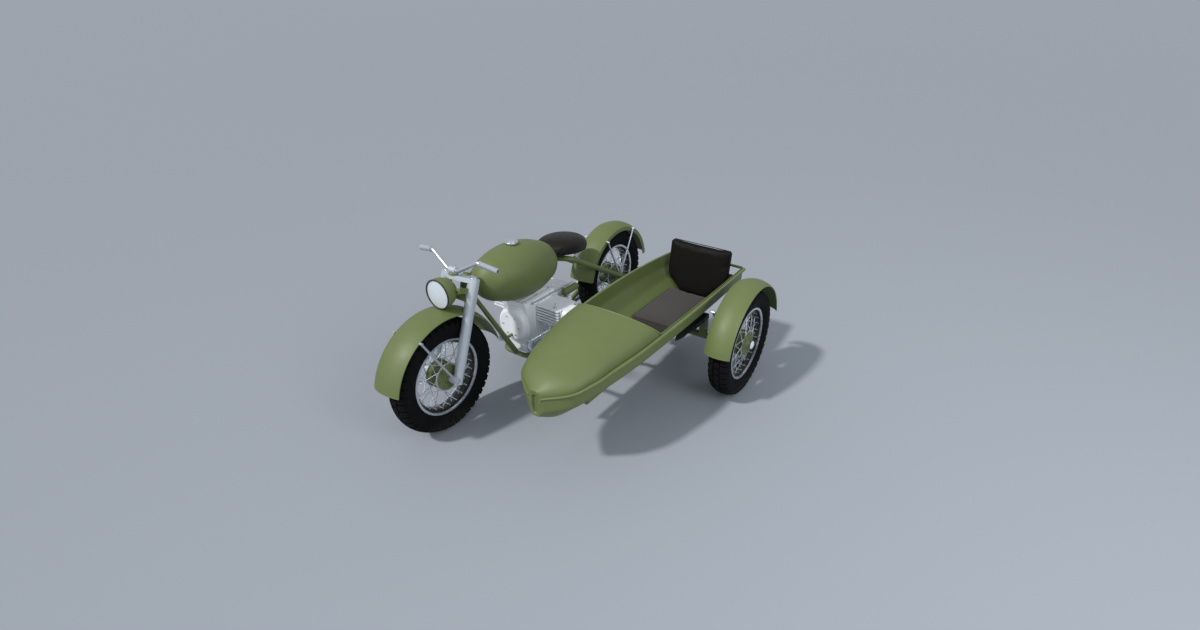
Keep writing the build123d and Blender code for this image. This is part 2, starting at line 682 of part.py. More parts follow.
# ---------------------------------------------------------------- motorcycle frame
head_top = steering_top + down * (clamp_t + seat_gap)
head_len = clamp_gap - clamp_t - 2 * seat_gap
head_mid = steering_top + down * (clamp_t + head_len / 2)
with BuildPart() as main_frame:
    # backbone from the head to the seat lug
    seat_lug = at(seat_lug_x, 0, seat_lug_z)
    rod(head_mid, seat_lug, backbone_r)
    # one tapered downtube to the front of the cradle, with a bracket for the engine
    downtube_foot = at(frame_front_x, 0, cradle_z)
    downtube_way = (head_mid - downtube_foot).normalized()
    with Locations(Plane(origin=downtube_foot, z_dir=downtube_way)):
        Cone(*downtube_r, (head_mid - downtube_foot).length, align=(Align.CENTER, Align.CENTER, Align.MIN))
    bracket_place = downtube_foot + downtube_way * (bracket_z - cradle_z) / downtube_way.Z
    bracket_end = engine_x + engine_len / 2 + cover_depth + 2 * seat_gap
    rod(bracket_place, at(bracket_end, 0, bracket_z), bracket_r)
    for side in (-1, 1):
        # cradle rail from the middle of the front cross tube back to the rear lug
        bent_tube(
            [
                at(frame_front_x, 0, cradle_z),
                at(frame_front_x, side * cradle_y, cradle_z),
                at(cradle_bend_x, side * cradle_y, cradle_z),
                at(0, side * seat_stay_y, tyre_r),
            ],
            tube_r,
            cradle_turn,
        )
        # seat stay from the seat lug out and down to the rear lug
        bent_tube(
            [
                seat_lug,
                at(seat_bend_x, side * seat_stay_y, seat_bend_z),
                at(0, side * seat_stay_y, tyre_r),
            ],
            seat_stay_r,
            seat_turn,
        )
        lug = at(0, side * rear_lug_y, tyre_r)
        rod(lug, lug + Vector(0, side * rear_lug_w, 0), rear_lug_r)
    # cross tubes between the cradle rails
    for cross_x in cross_tube_xs:
        rod(at(cross_x, -cradle_y, cradle_z), at(cross_x, cradle_y, cradle_z), cross_tube_r)
    # cross tube that carries the saddle's springs, and the post under the saddle's nose
    rod(at(spring_x, -seat_stay_y, spring_tube_z), at(spring_x, seat_stay_y, spring_tube_z), spring_tube_r)
    nose_foot = at(seat_lug_x - saddle_post_back, 0, seat_lug_z)
    post_len = (saddle_base - nose_foot).dot(saddle_up) - seat_gap
    rod(nose_foot, nose_foot + saddle_up * post_len, saddle_post_r)
    # lugs for the sidecar's struts, on the left
    for x, z, chassis_lug_x in strut_rows:
        rod(at(x, cradle_y - lug_in, z), at(x, cradle_y + lug_out, z), lug_boss_r)
    rod(head_top, head_top + down * head_len, head_r)
    with BuildSketch(Plane(origin=head_top, z_dir=down)):
        Circle(stem_r + pin_gap)
    extrude(amount=head_len, mode=Mode.SUBTRACT)
    cross_bore(rear_axle, axle_r + pin_gap, 4 * cradle_y)
save(main_frame.part, "main_frame")


def egg(length, width, height):
    """An egg-shaped solid about the origin, its long axis forward."""
    unit = 100.0
    with BuildPart() as shape:
        Sphere(unit)
        scale(by=(length / 2 / unit, width / 2 / unit, height / 2 / unit))
    return shape.part


# ---------------------------------------------------------------- tank and saddle
tank_centre = at(tank_x, 0, tank_z)
tank_way = Vector(cos(radians(tank_tilt)), 0, sin(radians(tank_tilt)))
cap_foot = tank_centre + Vector(cap_x, 0, tank_w / 2 - neck_sunk)


def tank_form(margin):
    """The tank's egg, grown by this margin all round."""
    half_len, half_w = tank_len / 2 + margin, tank_w / 2 + margin

    def on_ellipse(angle):
        """A point of the elliptical side view, at this angle round it from the front."""
        return (half_len * cos(radians(angle)), half_w * sin(radians(angle)))

    with BuildPart() as form:
        with BuildSketch(Plane(origin=tank_centre, x_dir=tank_way, z_dir=(0, -1, 0))):
            with BuildLine():
                nose = ThreePointArc((half_len, pole_r), on_ellipse(25), on_ellipse(52))
                middle = ThreePointArc(nose @ 1, on_ellipse(90), on_ellipse(128))
                tail = ThreePointArc(middle @ 1, on_ellipse(155), (-half_len, pole_r))
                Polyline(tail @ 1, (-half_len, 0), (half_len, 0), nose @ 0)
            make_face()
        revolve(axis=Axis(tank_centre, tank_way))
    return form.part


tank_body = tank_form(0)
with BuildPart() as fuel_tank:
    add(tank_body)
    rod(cap_foot, cap_foot + Vector(0, 0, neck_h), cap_r - cap_lip)
    with BuildSketch(Plane(origin=cap_foot + Vector(0, 0, neck_h), z_dir=(0, 0, -1))) as neck:
        Circle(cap_r - cap_lip - neck_wall)
    extrude(neck.sketch, amount=neck_bore, mode=Mode.SUBTRACT)
    # tunnel for the backbone, right through the tank
    backbone_way = (seat_lug - head_mid).normalized()
    with BuildSketch(Plane(origin=(head_mid + seat_lug) / 2, z_dir=backbone_way)) as tunnel:
        Circle(backbone_r + seat_gap)
    extrude(tunnel.sketch, amount=tank_len, both=True, mode=Mode.SUBTRACT)
save(fuel_tank.part, "fuel_tank")

with BuildPart() as filler_cap:
    cap_seat = cap_foot + Vector(0, 0, neck_h + seat_gap)
    rod(cap_seat, cap_seat + Vector(0, 0, cap_h), cap_r)
    rod(cap_seat - Vector(0, 0, plug_h), cap_seat, cap_r - cap_lip - neck_wall - 2 * seat_gap)
    fillet(filler_cap.edges().filter_by(GeomType.CIRCLE).sort_by(Axis.Z)[-1], cap_round)
save(filler_cap.part, "filler_cap")

saddle_egg = egg(saddle_len, saddle_w, saddle_h)
saddle_notch = tank_form(saddle_tank_gap)
with BuildPart() as saddle:
    with Locations(Location(saddle_centre, (0, -saddle_tilt, 0))):
        add(saddle_egg)
    split(bisect_by=Plane(origin=saddle_base, z_dir=saddle_up), keep=Keep.TOP)
    add(saddle_notch, mode=Mode.SUBTRACT)
save(saddle.part, "saddle")

with BuildPart() as saddle_spring:
    for side in (-1, 1):
        foot = at(spring_x, side * spring_y, spring_tube_z) + saddle_up * (spring_tube_r + seat_gap)
        height = (saddle_base - foot).dot(saddle_up) - seat_gap
        rod(foot, foot + saddle_up * height, spring_r)
save(saddle_spring.part, "saddle_spring")

# ---------------------------------------------------------------- engine and gearbox
with BuildPart() as engine_block:
    with Locations(at(engine_x, 0, engine_z)):
        Box(engine_len, engine_w, engine_h)
    fillet(engine_block.edges().filter_by(Axis.X), engine_round)
save(engine_block.part, "engine_block")

with BuildPart() as engine_cover:
    cover_foot = at(engine_x + engine_len / 2 + seat_gap, 0, engine_z + cover_rise)
    rod(cover_foot, cover_foot + Vector(cover_depth, 0, 0), cover_r)
    fillet(engine_cover.edges().filter_by(GeomType.CIRCLE).sort_by(Axis.X)[-1], cover_round)
save(engine_cover.part, "engine_cover")

gearbox_back = engine_x - engine_len / 2 - seat_gap - gearbox_len
with BuildPart() as gearbox:
    with Locations(at(gearbox_back + gearbox_len / 2, 0, gearbox_top - gearbox_h / 2)):
        Box(gearbox_len, gearbox_w, gearbox_h)
    fillet(gearbox.edges().filter_by(Axis.X), gearbox_round)
save(gearbox.part, "gearbox")

barrel_in = engine_w / 2 + seat_gap
with BuildPart() as cylinders:
    for side in (-1, 1):
        foot = at(cylinder_x, side * barrel_in, cylinder_z)
        rod(foot, foot + Vector(0, side * (fin_w + barrel_base), 0), barrel_r)
        for number in range(fin_count):
            fin_z = (number - (fin_count - 1) / 2) * fin_pitch
            with Locations(foot + Vector(0, side * (barrel_base + fin_w / 2), fin_z)):
                Box(fin_len, fin_w, fin_t)
save(cylinders.part, "cylinders")

with BuildPart() as rocker_covers:
    for side in (-1, 1):
        foot = at(cylinder_x, side * (barrel_in + fin_w + barrel_base + seat_gap), cylinder_z)
        with Locations(foot + Vector(0, side * rocker_t / 2, 0)):
            Box(rocker_len, rocker_t, rocker_h)
    fillet(rocker_covers.edges().filter_by(Axis.Y), rocker_round)
save(rocker_covers.part, "rocker_covers")

with BuildPart() as carburettors:
    for side in (-1, 1):
        inlet = at(cylinder_x - fin_len / 2 - seat_gap, side * carb_y, cylinder_z + carb_rise)
        chamber = inlet - Vector(chamber_back, 0, chamber_low)
        rod(inlet, inlet - Vector(carb_len, 0, 0), carb_r)
        rod(chamber, chamber + Vector(0, 0, chamber_low + chamber_high), chamber_r)
save(carburettors.part, "carburettors")

# air cleaner: a can along the gearbox's upper left corner, on a short neck square to that corner
corner = at(gearbox_back + gearbox_len / 2, gearbox_w / 2 - gearbox_round, gearbox_top - gearbox_round)
air_centre = at(gearbox_back + gearbox_len / 2 + air_lead, air_y, air_z)
neck_way = Vector(0, (air_centre - corner).Y, (air_centre - corner).Z).normalized()
neck_foot = corner + Vector(air_lead, 0, 0) + neck_way * (gearbox_round + seat_gap)
with BuildPart() as air_cleaner:
    rod(air_centre - Vector(air_len / 2, 0, 0), air_centre + Vector(air_len / 2, 0, 0), air_r)
    fillet(air_cleaner.edges().filter_by(GeomType.CIRCLE), air_round)
    rod(neck_foot, air_centre, air_neck_r)
save(air_cleaner.part, "air_cleaner")

port_z = cylinder_z - (fin_count - 1) / 2 * fin_pitch - fin_t / 2 - seat_gap
with BuildPart() as exhaust_pipes:
    for side in (-1, 1):
        port = at(cylinder_x + port_lead, side * port_y, port_z)
        bent_tube(
            [
                port,
                port - Vector(0, 0, port_drop),
                at(elbow_x, side * elbow_y, elbow_z),
                at(turn_x, side * exhaust_y, turn_z),
                at(low_x, side * exhaust_y, low_z),
                at(tail_x, side * exhaust_y, tail_z),
            ],
            exhaust_r,
            exhaust_bend,
        )
        silencer_back = at(silencer_end[0], side * exhaust_y, silencer_end[1])
        rod(at(tail_x, side * exhaust_y, tail_z), silencer_back, silencer_r)
save(exhaust_pipes.part, "exhaust_pipes")

with BuildPart() as final_drive:
    rod(rear_axle - Vector(0, drive_y, 0), rear_axle - Vector(0, drive_y + drive_t, 0), drive_r)
    shaft_back = at(shaft_foot, -shaft_y, tyre_r + shaft_rise[0])
    rod(shaft_back, at(gearbox_back - 1, -shaft_y, tyre_r + shaft_rise[1]), shaft_r)
    cross_bore(rear_axle, collar_r + seat_gap, 4 * drive_y)
save(final_drive.part, "final_drive")

with BuildPart() as footrests:
    for side in (-1, 1):
        post = at(footrest_x, side * cradle_y, cradle_z + tube_r + seat_gap)
        peg_root = post + Vector(0, side * peg_collar_w, footrest_rise)
        rod(post, post + Vector(0, 0, footrest_rise), post_r)
        rod(peg_root - Vector(0, side * 2 * peg_collar_w, 0), peg_root, peg_r + peg_collar_wall)
        rod(peg_root, peg_root + Vector(0, side * peg_len, 0), peg_r)
save(footrests.part, "footrests")


# ---------------------------------------------------------------- sidecar body
def across(x):
    """The plane across the sidecar at this station: local X to the left, local Y up."""
    return Plane(origin=at(x, tub_y, 0), x_dir=(0, 1, 0), z_dir=(1, 0, 0))


def hull_outline(rim_half, rim, knee_half, knee, floor_half, floor, inset=0.0, above=0.0):
    """The closed section of the hull: upright band, sloping bottom and flat floor, drawn in by the inset."""
    right = [
        (rim_half - inset, rim + above),
        (rim_half - inset, rim - band_h + inset * 0.4),
        (knee_half - inset * 0.8, knee + inset * 0.7),
        (floor_half - inset * 0.5, floor + inset),
    ]
    left = [(-y, z) for y, z in reversed(right)]
    Polyline(*right, *left, right[0])


main_station = stations[2]
with BuildPart() as tub_hollow:
    # from inside the tail panel to inside the nose, and open at the top
    inner = [(stations[0][0] + tub_wall, *stations[0][1:])] + stations[1:-1]
    inner += [(stations[-1][0] - 3 * tub_wall, *stations[-1][1:])]
    for x, rim_half, rim, knee_half, knee, floor_half, floor, crest in inner:
        with BuildSketch(across(x)):
            with BuildLine():
                hull_outline(rim_half, rim, knee_half, knee, floor_half, floor, tub_wall, 30)
            make_face()
    loft(ruled=True)

with BuildPart() as sidecar_body:
    for x, rim_half, rim, knee_half, knee, floor_half, floor, crest in stations:
        with BuildSketch(across(x)):
            with BuildLine():
                hull_outline(rim_half, rim, knee_half, knee, floor_half, floor)
            make_face()
    loft(ruled=True)
    for side in (-1, 1):
        # gunwale bead, fused to the band just under its edge
        edge = [
            at(x, tub_y + side * (rim_half + bead_over), rim - bead_drop)
            for x, rim_half, rim, *rest in stations
        ]
        bent_tube(edge, bead_r, bead_turn)
        # shoe over the tip of each leaf spring
        shoe_z = leaf_top + seat_gap + shoe_h / 2
        with Locations(at(leaf_tip - shoe_len / 2, tub_y + side * (leaf_y - leaf_w / 4), shoe_z)):
            Box(shoe_len, leaf_w * shoe_spread, shoe_h)
    for foot_y in foot_places:
        # foot on the chassis's front cross tube
        foot = at(chassis_x[1] - cross_in, tub_y + foot_y, chassis_z + cross_r + seat_gap)
        rod(foot, foot + Vector(0, 0, foot_h), foot_r)
    add(tub_hollow.part, mode=Mode.SUBTRACT)
    # the tail panel stops below a cross tube
    with BuildSketch(across(stations[0][0] - bead_r)) as tail_cut:
        with Locations((0, tail_cut_z + band_h)):
            Rectangle(2 * (stations[0][1] - tub_wall), 2 * band_h)
    extrude(tail_cut.sketch, amount=bead_r + 2 * tub_wall, mode=Mode.SUBTRACT)
    tail_half = Vector(0, stations[0][1] - tub_wall / 2, 0)
    tail_middle = at(tail_tube_x, tub_y, tail_tube_z)
    rod(tail_middle - tail_half, tail_middle + tail_half, tail_tube_r)
    # seat board, let into the sloping sides
    with BuildSketch(across(board_x[0])) as board:
        with BuildLine():
            hull_outline(*main_station[1:7], tub_wall / 2)
        make_face()
        with Locations((0, (board_z[0] + board_z[1]) / 2)):
            Rectangle(2 * back_half, board_z[1] - board_z[0], mode=Mode.INTERSECT)
    extrude(board.sketch, amount=board_x[1] - board_x[0])
save(sidecar_body.part, "sidecar_body")

cowl_stations = [row for row in stations if row[0] >= cowl_back]


def cowl_section(rim_half, rim, crest, inset=0.0):
    """The closed bow under the cowl's surface: an arch from gunwale to gunwale."""
    arch = ThreePointArc((rim_half - inset, rim), (0, crest - inset), (-rim_half + inset, rim))
    Line(arch @ 1, arch @ 0)


with BuildPart() as cowl_hollow:
    inner = [(cowl_back - 1, *cowl_stations[0][1:])] + cowl_stations[:-1]
    inner += [(cowl_stations[-1][0] - 4 * cowl_wall, *cowl_stations[-1][1:])]
    for x, rim_half, rim, knee_half, knee, floor_half, floor, crest in inner:
        with BuildSketch(across(x)):
            with BuildLine():
                cowl_section(rim_half, rim + seat_gap, crest, cowl_wall)
            make_face()
    loft(ruled=True)

with BuildPart() as sidecar_cowl:
    for x, rim_half, rim, knee_half, knee, floor_half, floor, crest in cowl_stations:
        with BuildSketch(across(x)):
            with BuildLine():
                cowl_section(rim_half, rim + seat_gap, crest)
            make_face()
    loft(ruled=True)
    add(cowl_hollow.part, mode=Mode.SUBTRACT)
    lean = Vector(cos(radians(cowl_lean)), 0, -sin(radians(cowl_lean)))
    split(bisect_by=Plane(origin=at(cowl_back, tub_y, main_station[2]), z_dir=lean), keep=Keep.TOP)
save(sidecar_cowl.part, "sidecar_cowl")

cushion_foot = board_z[1] + seat_gap
with BuildPart() as sidecar_seat:
    with BuildSketch(across(cushion_x[0])):
        with BuildLine():
            hull_outline(*main_station[1:7], tub_wall + seat_gap)
        make_face()
        with Locations((0, (cushion_foot + cushion_top) / 2)):
            Rectangle(cushion_w, cushion_top - cushion_foot, mode=Mode.INTERSECT)
    extrude(amount=cushion_x[1] - cushion_x[0])
save(sidecar_seat.part, "sidecar_seat")

back_foot = board_z[1] + seat_gap + back_t * sin(radians(back_lean))
with BuildPart() as sidecar_backrest:
    back_place = Plane(
        origin=at(back_x, tub_y, back_foot),
        x_dir=(0, 1, 0),
        z_dir=(cos(radians(back_lean)), 0, sin(radians(back_lean))),
    )
    back_h = (back_top - back_foot) / cos(radians(back_lean))
    with BuildSketch(back_place):
        with BuildLine():
            Polyline(
                (-back_foot_half, 0),
                (-back_half, back_taper),
                (-back_half, back_h),
                (back_half, back_h),
                (back_half, back_taper),
                (back_foot_half, 0),
                (-back_foot_half, 0),
            )
        make_face()
    extrude(amount=-back_t)
save(sidecar_backrest.part, "sidecar_backrest")

# ---------------------------------------------------------------- sidecar frame and running gear
with BuildPart() as sidecar_frame:
    for y in chassis_y:
        rod(at(chassis_x[0], y, chassis_z), at(chassis_x[1], y, chassis_z), chassis_r)
    for x in (chassis_x[0] + cross_in, chassis_x[1] - cross_in):
        rod(at(x, chassis_y[0], chassis_z), at(x, chassis_y[1], chassis_z), cross_r)
    beam_start = at(wheel_lead, chassis_y[0] - beam_over, chassis_z)
    rod(beam_start, at(wheel_lead, beam_end + knuckle_w / 2, chassis_z), beam_r)
    knuckle = at(wheel_lead, beam_end, tyre_r - knuckle_drop)
    rod(knuckle, knuckle + Vector(0, knuckle_w, 0), knuckle_r)
    for side in (-1, 1):
        # spring perch on the beam
        perch_h = leaf_top - leaf_count * leaf_t - seat_gap - chassis_z
        with Locations(at(wheel_lead, tub_y + side * leaf_y, chassis_z + perch_h / 2)):
            Box(2 * leaf_back - 2, leaf_w - 4, perch_h)
    for x, z, chassis_lug_x in strut_rows:
        lug = at(chassis_lug_x, chassis_y[0], chassis_z)
        rod(lug, lug - Vector(0, chassis_lug, 0), lug_boss_r - 1)
    with BuildSketch(Plane(origin=sidecar_axle, z_dir=(0, 1, 0))) as stub_hole:
        Circle(axle_r + pin_gap)
    extrude(stub_hole.sketch, amount=-stub_bore, mode=Mode.SUBTRACT)
save(sidecar_frame.part, "sidecar_frame")

with BuildPart() as sidecar_axle_piece:
    stub_in = track - beam_end - knuckle_w
    stub_end = sidecar_axle + Vector(0, boss_end + axle_nut, 0)
    rod(sidecar_axle - Vector(0, stub_in + stub_len, 0), stub_end, axle_r)
    rod(sidecar_axle - Vector(0, stub_in - seat_gap, 0), sidecar_axle - Vector(0, boss_end, 0), collar_r)
    rod(sidecar_axle + Vector(0, boss_end, 0), stub_end - Vector(0, 4, 0), collar_r)
save(sidecar_axle_piece.part, "sidecar_axle")

with BuildPart() as sidecar_mudguard:
    sidecar_guard_centre = sidecar_axle - Vector(sidecar_guard_back, 0, 0)
    guard(sidecar_guard_centre, sidecar_guard_w, sidecar_crown_r, sidecar_edge_r, *sidecar_guard_ends)
save(sidecar_mudguard.part, "sidecar_mudguard")

with BuildPart() as sidecar_mudguard_stays:
    stay_y = beam_end + knuckle_w - stay_r - 1
    for angle in sidecar_stay_angles:
        way = Vector(cos(radians(angle)), 0, sin(radians(angle)))
        low = at(wheel_lead, stay_y, tyre_r - knuckle_drop) + way * (knuckle_r + seat_gap)
        high = sidecar_guard_centre + way * (sidecar_edge_r + stay_foot_r)
        high = Vector(high.X, at(0, stay_y, 0).Y, high.Z)
        rod(low, high, stay_r)
        guard_side = at(0, track - sidecar_guard_w / 2 - seat_gap, 0).Y
        rod(Vector(high.X, guard_side, high.Z), high - Vector(0, stay_r + stay_over, 0), stay_foot_r)
save(sidecar_mudguard_stays.part, "sidecar_mudguard_stays")

with BuildPart() as sidecar_struts:
    for x, z, chassis_lug_x in strut_rows:
        start = at(x, cradle_y + lug_out + seat_gap, z)
        end = at(chassis_lug_x, chassis_y[0] - chassis_lug - seat_gap, chassis_z)
        straight = Vector(0, strut_straight, 0)
        bent_tube([start, start + straight, end - straight, end], strut_r, strut_turn)
save(sidecar_struts.part, "sidecar_struts")

leaf_start = wheel_lead - leaf_back
with BuildPart() as leaf_springs:
    for side in (-1, 1):
        for number in range(leaf_count):
            leaf_len = leaf_tip - leaf_start - leaf_step * number
            leaf_z = leaf_top - leaf_t * (number + 0.5)
            with Locations(at(leaf_start + leaf_len / 2, tub_y + side * leaf_y, leaf_z)):
                Box(leaf_len, leaf_w, leaf_t)
save(leaf_springs.part, "leaf_springs")

with BuildPart() as sidecar_hub_cap:
    cap_face = stub_end + Vector(0, boss_gap, 0)
    rod(cap_face, cap_face + Vector(0, cap_t, 0), hub_boss_r)
    fillet(sidecar_hub_cap.edges().filter_by(GeomType.CIRCLE).sort_by(Axis.Y)[-1], cap_edge)
save(sidecar_hub_cap.part, "sidecar_hub_cap")
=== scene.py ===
"""Finishes for a sidecar motorcycle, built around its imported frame.

Metres. +X is forward, +Y the rider's left, +Z up. Places on the motorcycle and its sidecar are given from
the rear wheel's ground contact and moved into the frame by at(). New surfaces are grids of points worked
out as whole arrays.
"""

import json

import bmesh
import bpy
import numpy as np
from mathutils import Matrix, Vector


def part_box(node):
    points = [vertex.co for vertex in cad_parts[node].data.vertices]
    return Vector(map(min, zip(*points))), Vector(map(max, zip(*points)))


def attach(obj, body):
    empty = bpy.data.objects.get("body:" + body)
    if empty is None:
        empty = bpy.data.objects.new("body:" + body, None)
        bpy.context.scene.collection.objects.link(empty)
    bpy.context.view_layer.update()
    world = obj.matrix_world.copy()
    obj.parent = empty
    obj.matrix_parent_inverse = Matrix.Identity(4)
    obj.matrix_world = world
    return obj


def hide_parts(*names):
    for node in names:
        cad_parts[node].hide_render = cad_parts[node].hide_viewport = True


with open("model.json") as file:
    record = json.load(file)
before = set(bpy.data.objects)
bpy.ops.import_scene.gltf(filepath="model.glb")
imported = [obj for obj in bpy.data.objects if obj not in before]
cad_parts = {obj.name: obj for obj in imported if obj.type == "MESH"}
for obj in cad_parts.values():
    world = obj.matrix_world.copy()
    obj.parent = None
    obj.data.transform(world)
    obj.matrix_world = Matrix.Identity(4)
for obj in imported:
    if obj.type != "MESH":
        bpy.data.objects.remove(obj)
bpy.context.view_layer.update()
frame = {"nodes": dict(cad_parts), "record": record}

TURN = 2 * np.pi
EPSILON = 1e-6


# ---------------------------------------------------------------- places
def middle(node):
    """The middle of a node's box."""
    low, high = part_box(node)
    return (np.array(low) + np.array(high)) / 2


REAR_HUB = middle("rear_tyre")
FRONT_HUB = middle("front_tyre")
SIDE_HUB = middle("sidecar_tyre")
TYRE_R = REAR_HUB[2]
TUB_Y = 0.700           # sidecar's middle plane, left of the motorcycle's


def at(x, y, z):
    """A place given from the rear wheel's ground contact."""
    x, y, z = np.broadcast_arrays(*[np.asarray(value, float) for value in (x, y, z)])
    return np.stack([x + REAR_HUB[0], y + REAR_HUB[1], z], axis=-1)


def unit(vectors):
    """Each vector divided by its length."""
    vectors = np.asarray(vectors, float)
    return vectors / np.maximum(np.linalg.norm(vectors, axis=-1, keepdims=True), 1e-12)


# ---------------------------------------------------------------- node materials
class Finish:
    """A node material in Object coordinates, with short calls for the nodes that every finish here uses."""

    def __init__(self, name, colour, rough, metal=0.0, **sockets):
        self.material = bpy.data.materials.new(name)
        self.material.use_nodes = True
        self.tree = self.material.node_tree
        self.shader = self.tree.nodes["Principled BSDF"]
        self.place = self.node("ShaderNodeTexCoord").outputs["Object"]
        self.shader.inputs["Base Color"].default_value = (*colour, 1.0)
        self.shader.inputs["Roughness"].default_value = rough
        self.shader.inputs["Metallic"].default_value = metal
        for socket, value in sockets.items():
            self.shader.inputs[socket.replace("_", " ")].default_value = value

    def node(self, kind, **settings):
        """A new shader node of a kind, with its settings."""
        made = self.tree.nodes.new(kind)
        for setting, value in settings.items():
            setattr(made, setting, value)
        return made

    def noise(self, scale, detail=3.0, rough=0.5, stretch=None):
        """Cloudy noise from 0 to 1, at so many features to the metre."""
        made = self.node("ShaderNodeTexNoise")
        made.inputs["Scale"].default_value = scale
        made.inputs["Detail"].default_value = detail
        made.inputs["Roughness"].default_value = rough
        source = self.place
        if stretch is not None:
            mapping = self.node("ShaderNodeMapping")
            mapping.inputs["Scale"].default_value = stretch
            self.tree.links.new(source, mapping.inputs["Vector"])
            source = mapping.outputs["Vector"]
        self.tree.links.new(source, made.inputs["Vector"])
        return made.outputs["Fac"]

    def band(self, value, low, high, first=0.0, last=1.0):
        """A value carried from low..high to first..last and held there."""
        made = self.node("ShaderNodeMapRange")
        ends = {"From Min": low, "From Max": high, "To Min": first, "To Max": last}
        for socket, number in ends.items():
            made.inputs[socket].default_value = number
        self.tree.links.new(value, made.inputs["Value"])
        return made.outputs["Result"]

    def height(self):
        """The place's height over the ground."""
        made = self.node("ShaderNodeSeparateXYZ")
        self.tree.links.new(self.place, made.inputs[0])
        return made.outputs["Z"]

    def times(self, one, other):
        """The product of two values."""
        made = self.node("ShaderNodeMath", operation="MULTIPLY")
        for number, value in enumerate((one, other)):
            if isinstance(value, float):
                made.inputs[number].default_value = value
            else:
                self.tree.links.new(value, made.inputs[number])
        return made.outputs[0]

    def tint(self, share, colour):
        """Mix this colour over the base colour by this share."""
        mix = self.node("ShaderNodeMix", data_type="RGBA")
        base = self.shader.inputs["Base Color"]
        if base.is_linked:
            self.tree.links.new(base.links[0].from_socket, mix.inputs["A"])
        else:
            mix.inputs["A"].default_value = base.default_value
        mix.inputs["B"].default_value = (*colour, 1.0)
        self.tree.links.new(share, mix.inputs["Factor"])
        self.tree.links.new(mix.outputs["Result"], base)

    def rough(self, value):
        """Let this value set the roughness."""
        self.tree.links.new(value, self.shader.inputs["Roughness"])

    def bump(self, value, depth, strength=1.0):
        """Raise the surface by this value times this depth in metres."""
        made = self.node("ShaderNodeBump")
        made.inputs["Distance"].default_value = depth
        made.inputs["Strength"].default_value = strength
        normal = self.shader.inputs["Normal"]
        if normal.is_linked:
            self.tree.links.new(normal.links[0].from_socket, made.inputs["Normal"])
        self.tree.links.new(value, made.inputs["Height"])
        self.tree.links.new(made.outputs["Normal"], normal)


def olive_paint():
    """Satin olive enamel: slow drifts of tone, faint orange peel and a little road dust low down."""
    finish = Finish("olive_paint", (0.128, 0.161, 0.052), 0.52)
    finish.tint(finish.band(finish.noise(3.0), 0.35, 0.7, 0.0, 0.5), (0.145, 0.179, 0.063))
    finish.tint(finish.band(finish.noise(22.0, 5.0), 0.45, 0.8, 0.0, 0.25), (0.103, 0.132, 0.041))
    low_down = finish.band(finish.height(), 0.05, 0.45, 0.35, 0.0)
    dust = finish.times(low_down, finish.band(finish.noise(14.0, 6.0), 0.35, 0.65))
    finish.tint(dust, (0.20, 0.185, 0.125))
    finish.rough(finish.band(finish.noise(9.0, 5.0), 0.3, 0.75, 0.46, 0.60))
    finish.bump(finish.noise(420.0, 2.0), 0.0003, 0.25)
    return finish.material


def worn_olive():
    """The olive enamel on rolled edges, rubbed through to dull metal in small flecks."""
    finish = Finish("worn_olive", (0.140, 0.178, 0.063), 0.50)
    finish.tint(finish.band(finish.noise(30.0, 4.0), 0.4, 0.7, 0.0, 0.5), (0.112, 0.144, 0.048))
    flecks = finish.times(
        finish.band(finish.noise(160.0, 6.0, 0.65), 0.60, 0.64),
        finish.band(finish.noise(12.0, 3.0), 0.50, 0.60),
    )
    finish.tint(flecks, (0.30, 0.30, 0.27))
    finish.rough(finish.band(finish.noise(60.0, 4.0), 0.3, 0.7, 0.44, 0.60))
    finish.bump(finish.noise(420.0, 2.0), 0.0003, 0.25)
    return finish.material


def silver_paint():
    """Satin silver enamel with a fine flake."""
    finish = Finish("silver_paint", (0.60, 0.65, 0.71), 0.36, 0.35)
    finish.tint(finish.band(finish.noise(5.0), 0.35, 0.7, 0.0, 0.5), (0.66, 0.70, 0.75))
    finish.rough(finish.band(finish.noise(18.0, 5.0), 0.3, 0.7, 0.28, 0.42))
    finish.bump(finish.noise(900.0, 2.0), 0.0002, 0.2)
    return finish.material


def bright_metal():
    """Plated steel with faint polishing marks and hazy patches."""
    finish = Finish("bright_metal", (0.64, 0.68, 0.74), 0.26, 0.85)
    finish.tint(finish.band(finish.noise(40.0, 6.0), 0.5, 0.85, 0.0, 0.45), (0.45, 0.47, 0.50))
    finish.rough(finish.band(finish.noise(70.0, 5.0), 0.3, 0.75, 0.20, 0.40))
    finish.bump(finish.noise(500.0, 3.0, stretch=(1.0, 1.0, 0.15)), 0.0002, 0.25)
    return finish.material


def cast_alloy():
    """Pale blasted aluminium: a grainy skin, slightly darker in its pores."""
    finish = Finish("cast_alloy", (0.88, 0.91, 0.95), 0.52, 0.05)
    finish.tint(finish.band(finish.noise(7.0, 4.0), 0.4, 0.75, 0.0, 0.4), (0.92, 0.94, 0.97))
    finish.tint(finish.band(finish.noise(260.0, 4.0), 0.55, 0.85, 0.0, 0.25), (0.68, 0.72, 0.77))
    finish.rough(finish.band(finish.noise(30.0, 5.0), 0.3, 0.7, 0.40, 0.58))
    finish.bump(finish.noise(650.0, 3.0), 0.0004, 0.5)
    return finish.material


